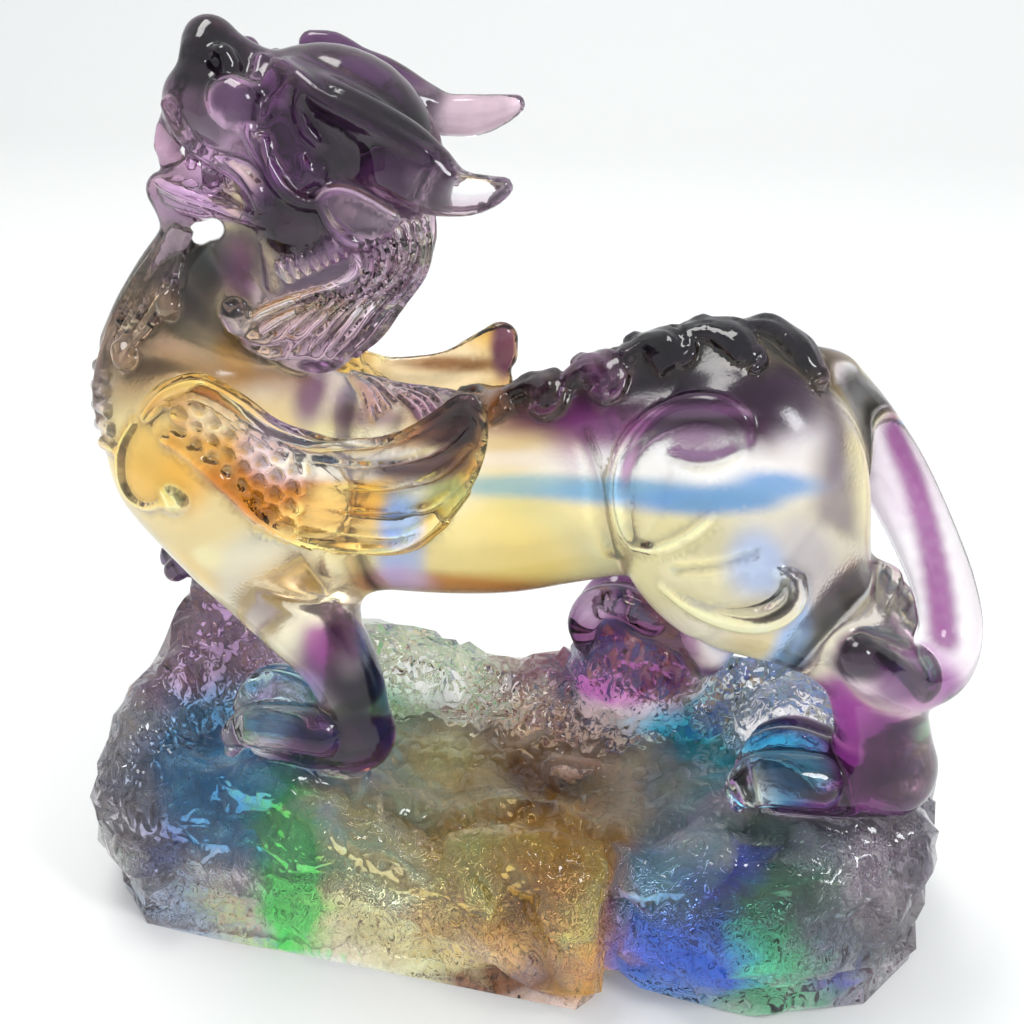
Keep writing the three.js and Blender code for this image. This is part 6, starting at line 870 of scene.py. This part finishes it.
# one closed skin: a speck left over from thin carving goes
edges = np.empty(len(final.edges) * 2, np.int32)
final.edges.foreach_get("vertices", edges)
e0, e1 = edges.reshape(-1, 2).T
island = np.arange(len(final.vertices))
while True:
    low = np.minimum(island[e0], island[e1])
    new = island.copy()
    np.minimum.at(new, e0, low)
    np.minimum.at(new, e1, low)
    new = new[new]
    if (new == island).all():
        break
    island = new
main = np.bincount(island).argmax()
if (island != main).any():
    import bmesh
    bm = bmesh.new()
    bm.from_mesh(final)
    bm.verts.ensure_lookup_table()
    bmesh.ops.delete(bm, geom=[bm.verts[int(i)] for i in np.nonzero(island != main)[0]], context="VERTS")
    bm.to_mesh(final)
    bm.free()
final.polygons.foreach_set("use_smooth", np.ones(len(final.polygons), bool))
for e in [final]:
    e.update()

# ---- colour through the glass, from place and from the part of the casting, with painted shade in hollows and a few painted highlights ----
co = np.empty(len(final.vertices) * 3, f32)
final.vertices.foreach_get("co", co)
P = co.reshape(-1, 3).astype(float) * 1000.0 - SHIFT
gi = np.clip(np.round((P - F.lo) / F.h).astype(int), 0, F.n - 1)
label = F.m[gi[:, 0], gi[:, 1], gi[:, 2]]
label = np.where(F.at(P, ANIMAL) > 0.8, 0, label)
edges = np.empty(len(final.edges) * 2, np.int32)
final.edges.foreach_get("vertices", edges)
edges = edges.reshape(-1, 2)
def blur(a, times):
    """Averages a value per vertex with its neighbours along the mesh."""
    n = len(P)
    deg = np.bincount(edges[:, 0], minlength=n) + np.bincount(edges[:, 1], minlength=n) + 1.0
    for _ in range(times):
        cols = []
        for c in range(a.shape[1]):
            s = a[:, c] + np.bincount(edges[:, 0], a[edges[:, 1], c], n) + np.bincount(edges[:, 1], a[edges[:, 0], c], n)
            cols.append(s / deg)
        a = np.stack(cols, 1)
    return a
def linear(hexcode):
    c = np.array([int(hexcode[i:i + 2], 16) / 255 for i in (0, 2, 4)])
    return np.where(c <= 0.04045, c / 12.92, ((c + 0.055) / 1.055) ** 2.4)
base = np.array([linear(h) for h in BASE_TINT])
col = blur(base[label], 3)
satin = blur(np.array(BASE_SATIN)[label][:, None], 4)
W = np.stack([lattice(P / 19.0 + 7 * s, 101 + s) + 0.5 * lattice(P / 8.0 + 3 * s, 111 + s) + 0.3 * lattice(P / 3.6 + s, 121 + s) for s in (1, 2, 3)], 1)
Wb = np.stack([lattice(P / 34.0 + 5 * s, 131 + s) for s in (1, 2, 3)], 1)
turn, dip = math.radians(7.0), math.radians(27.0)   # the colours run through the casting at a slant
SLANT = np.array([[math.cos(turn), math.sin(turn), 0], [-math.sin(turn) * math.sin(dip), math.cos(turn) * math.sin(dip), math.cos(dip)],
                  [-math.sin(turn) * math.cos(dip), math.cos(turn) * math.cos(dip), -math.sin(dip)]])
mask = {g: blur(np.isin(label, list(ls)).astype(float)[:, None], 3)[:, 0] for g, ls in GROUPS.items()}
for group, hexcode, strength, soft, wob, c, r in STAINS_AND_PAINTED_HIGHLIGHTS:
    warp = W * wob if group == "rock" else Wb * wob
    q = ((P + warp - np.array(c)) @ SLANT.T) / np.array(r)
    w = strength * smooth01((1 + soft - np.sqrt((q ** 2).sum(1))) / (2 * soft)) * mask[group]
    col = col * (1 - w[:, None]) + linear(hexcode) * w[:, None]
# painted shade and painted light: the colour is darkened in hollows and creases of the mesh and lightened on ridges and
# edges
un = np.empty(len(P) * 3, f32)
final.vertices.foreach_get("normal", un)
un = un.reshape(-1, 3)
deg = (np.bincount(edges[:, 0], minlength=len(P)) + np.bincount(edges[:, 1], minlength=len(P)))[:, None] + 1e-9
mean = np.stack([np.bincount(edges[:, 0], P[edges[:, 1], a], len(P)) + np.bincount(edges[:, 1], P[edges[:, 0], a], len(P)) for a in range(3)], 1) / deg
hollow_shade = blur(np.clip(((mean - P) * un).sum(1), -0.25, 0.35)[:, None], 1)
col = col * np.exp(-3.2 * hollow_shade)
streak = lattice(P * np.array([1 / 9.0, 1 / 14.0, 1 / 4.0]) + W * 0.4, 151)[:, None]
col = np.clip(col * (1 + np.where((label == 0)[:, None], 0.10, 0.05) * streak), 0, 1)
tint = final.color_attributes.new("tint", "FLOAT_COLOR", "POINT")
rgba = np.ones((len(P), 4), f32)
crag = mask["rock"] * smooth01((F.at(P, ANIMAL) - 0.5) / 3.0)
facing = smooth01(((un @ SLANT.T)[:, 2] * -1 + 0.15) / 0.4)        # the deep colour lies under the front and the top
deep = (BODY_DEEP + BODY_FRONT * (facing - 0.5)) * (1 - crag) + (1.0 - ROCK_PALE + ROCK_FRONT * (facing - 0.5)) * crag
rgba[:, :3] = col ** deep[:, None]
under = (smooth01((0.9 - P[:, 2]) / 0.6) * smooth01((-un[:, 2] - 0.85) / 0.12))[:, None]   # the ground underside is clear, the colour lies above it
rgba[:, :3] = rgba[:, :3] * (1 - under) + 0.98 * under
tint.data.foreach_set("color", rgba.ravel())
skin = final.color_attributes.new("skin", "FLOAT_COLOR", "POINT")
rgba[:, 0] = satin[:, 0]
rgba[:, 1] = crag
rgba[:, 2] = mask["torso"]
skin.data.foreach_set("color", rgba.ravel())

# ---- the glass ----
mat = bpy.data.materials.new("cast_glass")
mat.use_nodes = True
N, L = mat.node_tree.nodes, mat.node_tree.links
N.clear()
def node(kind, **kw):
    n = N.new(kind)
    for k, v in kw.items():
        setattr(n, k, v)
    return n
out = node("ShaderNodeOutputMaterial")
bsdf = node("ShaderNodeBsdfPrincipled")
bsdf.inputs["Transmission Weight"].default_value = 1.0
bsdf.inputs["IOR"].default_value = 1.5
bsdf.inputs["Specular IOR Level"].default_value = 0.5
L.new(bsdf.outputs[0], out.inputs["Surface"])
coords = node("ShaderNodeTexCoord").outputs["Object"]
tint_in = node("ShaderNodeAttribute", attribute_type="GEOMETRY", attribute_name="tint").outputs["Color"]
skin_in = node("ShaderNodeSeparateColor")
L.new(node("ShaderNodeAttribute", attribute_type="GEOMETRY", attribute_name="skin").outputs["Color"], skin_in.inputs[0])
def math_node(op, a, b, c=None):
    n = node("ShaderNodeMath", operation=op)
    for i, v in enumerate((a, b, c)):
        if v is None:
            continue
        if isinstance(v, (int, float)):
            n.inputs[i].default_value = v
        else:
            L.new(v, n.inputs[i])
    return n.outputs[0]
def noise(scale, detail=3.0, rough=0.5, distort=0.0):
    n = node("ShaderNodeTexNoise")
    n.inputs["Scale"].default_value = scale
    n.inputs["Detail"].default_value = detail
    n.inputs["Roughness"].default_value = rough
    n.inputs["Distortion"].default_value = distort
    L.new(coords, n.inputs["Vector"])
    return n.outputs[0]
# faint veils of denser and paler glass, as where two melts met
melt = noise(34.0, 0.0, 0.5)
# satin on the body, fire polish on the head, horns, wings, feet and tail
rough = math_node("MULTIPLY", skin_in.outputs[0], math_node("MULTIPLY_ADD", melt, 0.5, 0.75))
L.new(rough, bsdf.inputs["Roughness"])
# the rock's crinkled skin and the body's fine satin grain
stretch = node("ShaderNodeVectorMath", operation="MULTIPLY")
L.new(coords, stretch.inputs[0])
stretch.inputs[1].default_value = (1.0, 0.9, 0.6)
crinkle = node("ShaderNodeTexNoise")
crinkle.inputs["Scale"].default_value = 215.0
crinkle.inputs["Detail"].default_value = 1.0
crinkle.inputs["Roughness"].default_value = 0.5
L.new(stretch.outputs[0], crinkle.inputs["Vector"])
crease = math_node("ABSOLUTE", math_node("MULTIPLY_ADD", crinkle.outputs[0], 2.0, -1.0), None)
# painted shade: on the rock the colour is darkened along the creases of the crinkle
crease_shade = node("ShaderNodeMapRange")
L.new(crease, crease_shade.inputs["Value"])
crease_shade.inputs["From Max"].default_value = 0.1
crease_shade.inputs["To Min"].default_value = -0.28
crease_shade.inputs["To Max"].default_value = 0.0
veil = math_node("MULTIPLY_ADD", melt, 0.42, 0.78)
# colour scale: random melt veils, times painted shade along the rock's creases
veil_and_crease_shade = math_node("MULTIPLY_ADD", crease_shade.outputs[0], skin_in.outputs[1], veil)
mix = node("ShaderNodeVectorMath", operation="SCALE")
L.new(tint_in, mix.inputs[0])
L.new(veil_and_crease_shade, mix.inputs["Scale"])
L.new(mix.outputs[0], bsdf.inputs["Base Color"])
grain = math_node("MULTIPLY", noise(1500.0, 0.0, 0.5), math_node("MULTIPLY_ADD", skin_in.outputs[2], 0.013, 0.003))
height = math_node("MULTIPLY_ADD", crease, skin_in.outputs[1], grain)
b2 = node("ShaderNodeBump")
b2.inputs["Strength"].default_value = 1.0
b2.inputs["Distance"].default_value = 0.0011
L.new(height, b2.inputs["Height"])
L.new(b2.outputs[0], bsdf.inputs["Normal"])
final.materials.clear()
final.materials.append(mat)
# ---- studio: pale floor and backdrop, soft light, camera ----
def plain(name, colour, rough=0.9, glow=0.0):
    m = bpy.data.materials.new(name)
    m.use_nodes = True
    b = m.node_tree.nodes["Principled BSDF"]
    b.inputs["Base Color"].default_value = (*colour, 1)
    b.inputs["Roughness"].default_value = rough
    if glow:
        b.inputs["Emission Color"].default_value = (1.0, 1.0, 1.0, 1)
        b.inputs["Emission Strength"].default_value = glow
    return m
def sheet_of(name, corners, material):
    me = bpy.data.meshes.new(name)
    me.from_pydata([tuple(c) for c in corners], [], [tuple(range(len(corners)))])
    me.materials.append(material)
    o = bpy.data.objects.new(name, me)
    bpy.context.scene.collection.objects.link(o)
    o.visible_camera = False          # seen only through the glass and in its reflections
    return o
paper = plain("paper", (0.91, 0.915, 0.905))
depth = 1.1
rows = [(-2.4, 0.0)] + [(depth + 0.5 * math.sin(a), 0.5 - 0.5 * math.cos(a)) for a in np.linspace(0, math.pi / 2, 13)] + [(depth + 0.5, 2.6)]
pts, faces = [], []
for i, (yy, zz) in enumerate(rows):
    pts += [(-3.0, yy, zz), (3.0, yy, zz)]
    if i:
        faces.append((2 * i - 2, 2 * i - 1, 2 * i + 1, 2 * i))
me = bpy.data.meshes.new("floor")
me.from_pydata(pts, [], faces)
me.materials.append(paper)
for p in me.polygons:
    p.use_smooth = True
floor = bpy.data.objects.new("floor", me)
bpy.context.scene.collection.objects.link(floor)
dark = plain("flag", (0.2, 0.2, 0.205), 0.8)
sheet_of("flag_left", [(-0.75, -0.9, 0.0), (-0.75, 0.35, 0.0), (-0.75, 0.35, 0.5), (-0.75, -0.9, 0.5)], plain("flag_grey", (0.5, 0.5, 0.5), 0.8))
sheet_of("flag_right", [(0.95, -0.5, 0.0), (0.95, 0.25, 0.0), (0.95, 0.25, 0.45), (0.95, -0.5, 0.45)], dark)
def area(name, place, target, size, watts, colour=(1, 1, 1)):
    d = bpy.data.lights.new(name, "AREA")
    d.shape = "RECTANGLE"
    d.size, d.size_y = size
    d.energy = watts
    d.color = colour
    o = bpy.data.objects.new(name, d)
    o.location = place
    o.rotation_euler = (Vector(target) - Vector(place)).to_track_quat("-Z", "Y").to_euler()
    bpy.context.scene.collection.objects.link(o)
    return o
area("key", (-0.25, 0.15, 1.2), (0, 0, 0.1), (0.46, 0.34), 4.8, (1.0, 0.985, 0.96))
area("window", (0.8, -0.45, 0.95), (0, 0, 0.12), (0.26, 0.34), 5.0, (0.96, 0.98, 1.0))
for lamp in (area("back", (0.0, 1.15, 2.1), (0, 1.3, 0), (3.4, 1.8), 5.0), area("front", (0.0, -1.3, 1.5), (0, -0.25, 0), (1.8, 1.0), 3.0)):
    lamp.visible_glossy = False       # they light the paper and stay out of the glass
    lamp.visible_transmission = False
world = bpy.data.worlds.new("room")
bpy.context.scene.world = world
world.use_nodes = True
bg = world.node_tree.nodes["Background"]
bg.inputs["Color"].default_value = (0.92, 0.94, 0.96, 1)
bg.inputs["Strength"].default_value = 0.84

cam_data = bpy.data.cameras.new("camera")
cam_data.sensor_width = 36.0
cam_data.lens = 41.41
cam = bpy.data.objects.new("camera", cam_data)
bpy.context.scene.collection.objects.link(cam)
turn, dip = math.radians(7.0), math.radians(27.0)
right = Vector((math.cos(turn), math.sin(turn), 0))
ahead = Vector((-math.sin(turn) * math.cos(dip), math.cos(turn) * math.cos(dip), -math.sin(dip)))
up = right.cross(ahead)
cam.matrix_world = Matrix.Translation((0.02888, -0.24170, 0.234)) @ Matrix((right, up, -ahead)).transposed().to_4x4()
cam_data.clip_start, cam_data.clip_end = 0.01, 20.0
bpy.context.scene.camera = cam
bpy.context.scene.cycles.use_denoising = True
bpy.context.scene.cycles.max_bounces = 9
bpy.context.scene.cycles.transmission_bounces = 9
bpy.context.scene.cycles.diffuse_bounces = 2
bpy.context.scene.view_settings.view_transform = "Standard"

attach(glass, "root")
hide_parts("pixiu_on_rock")
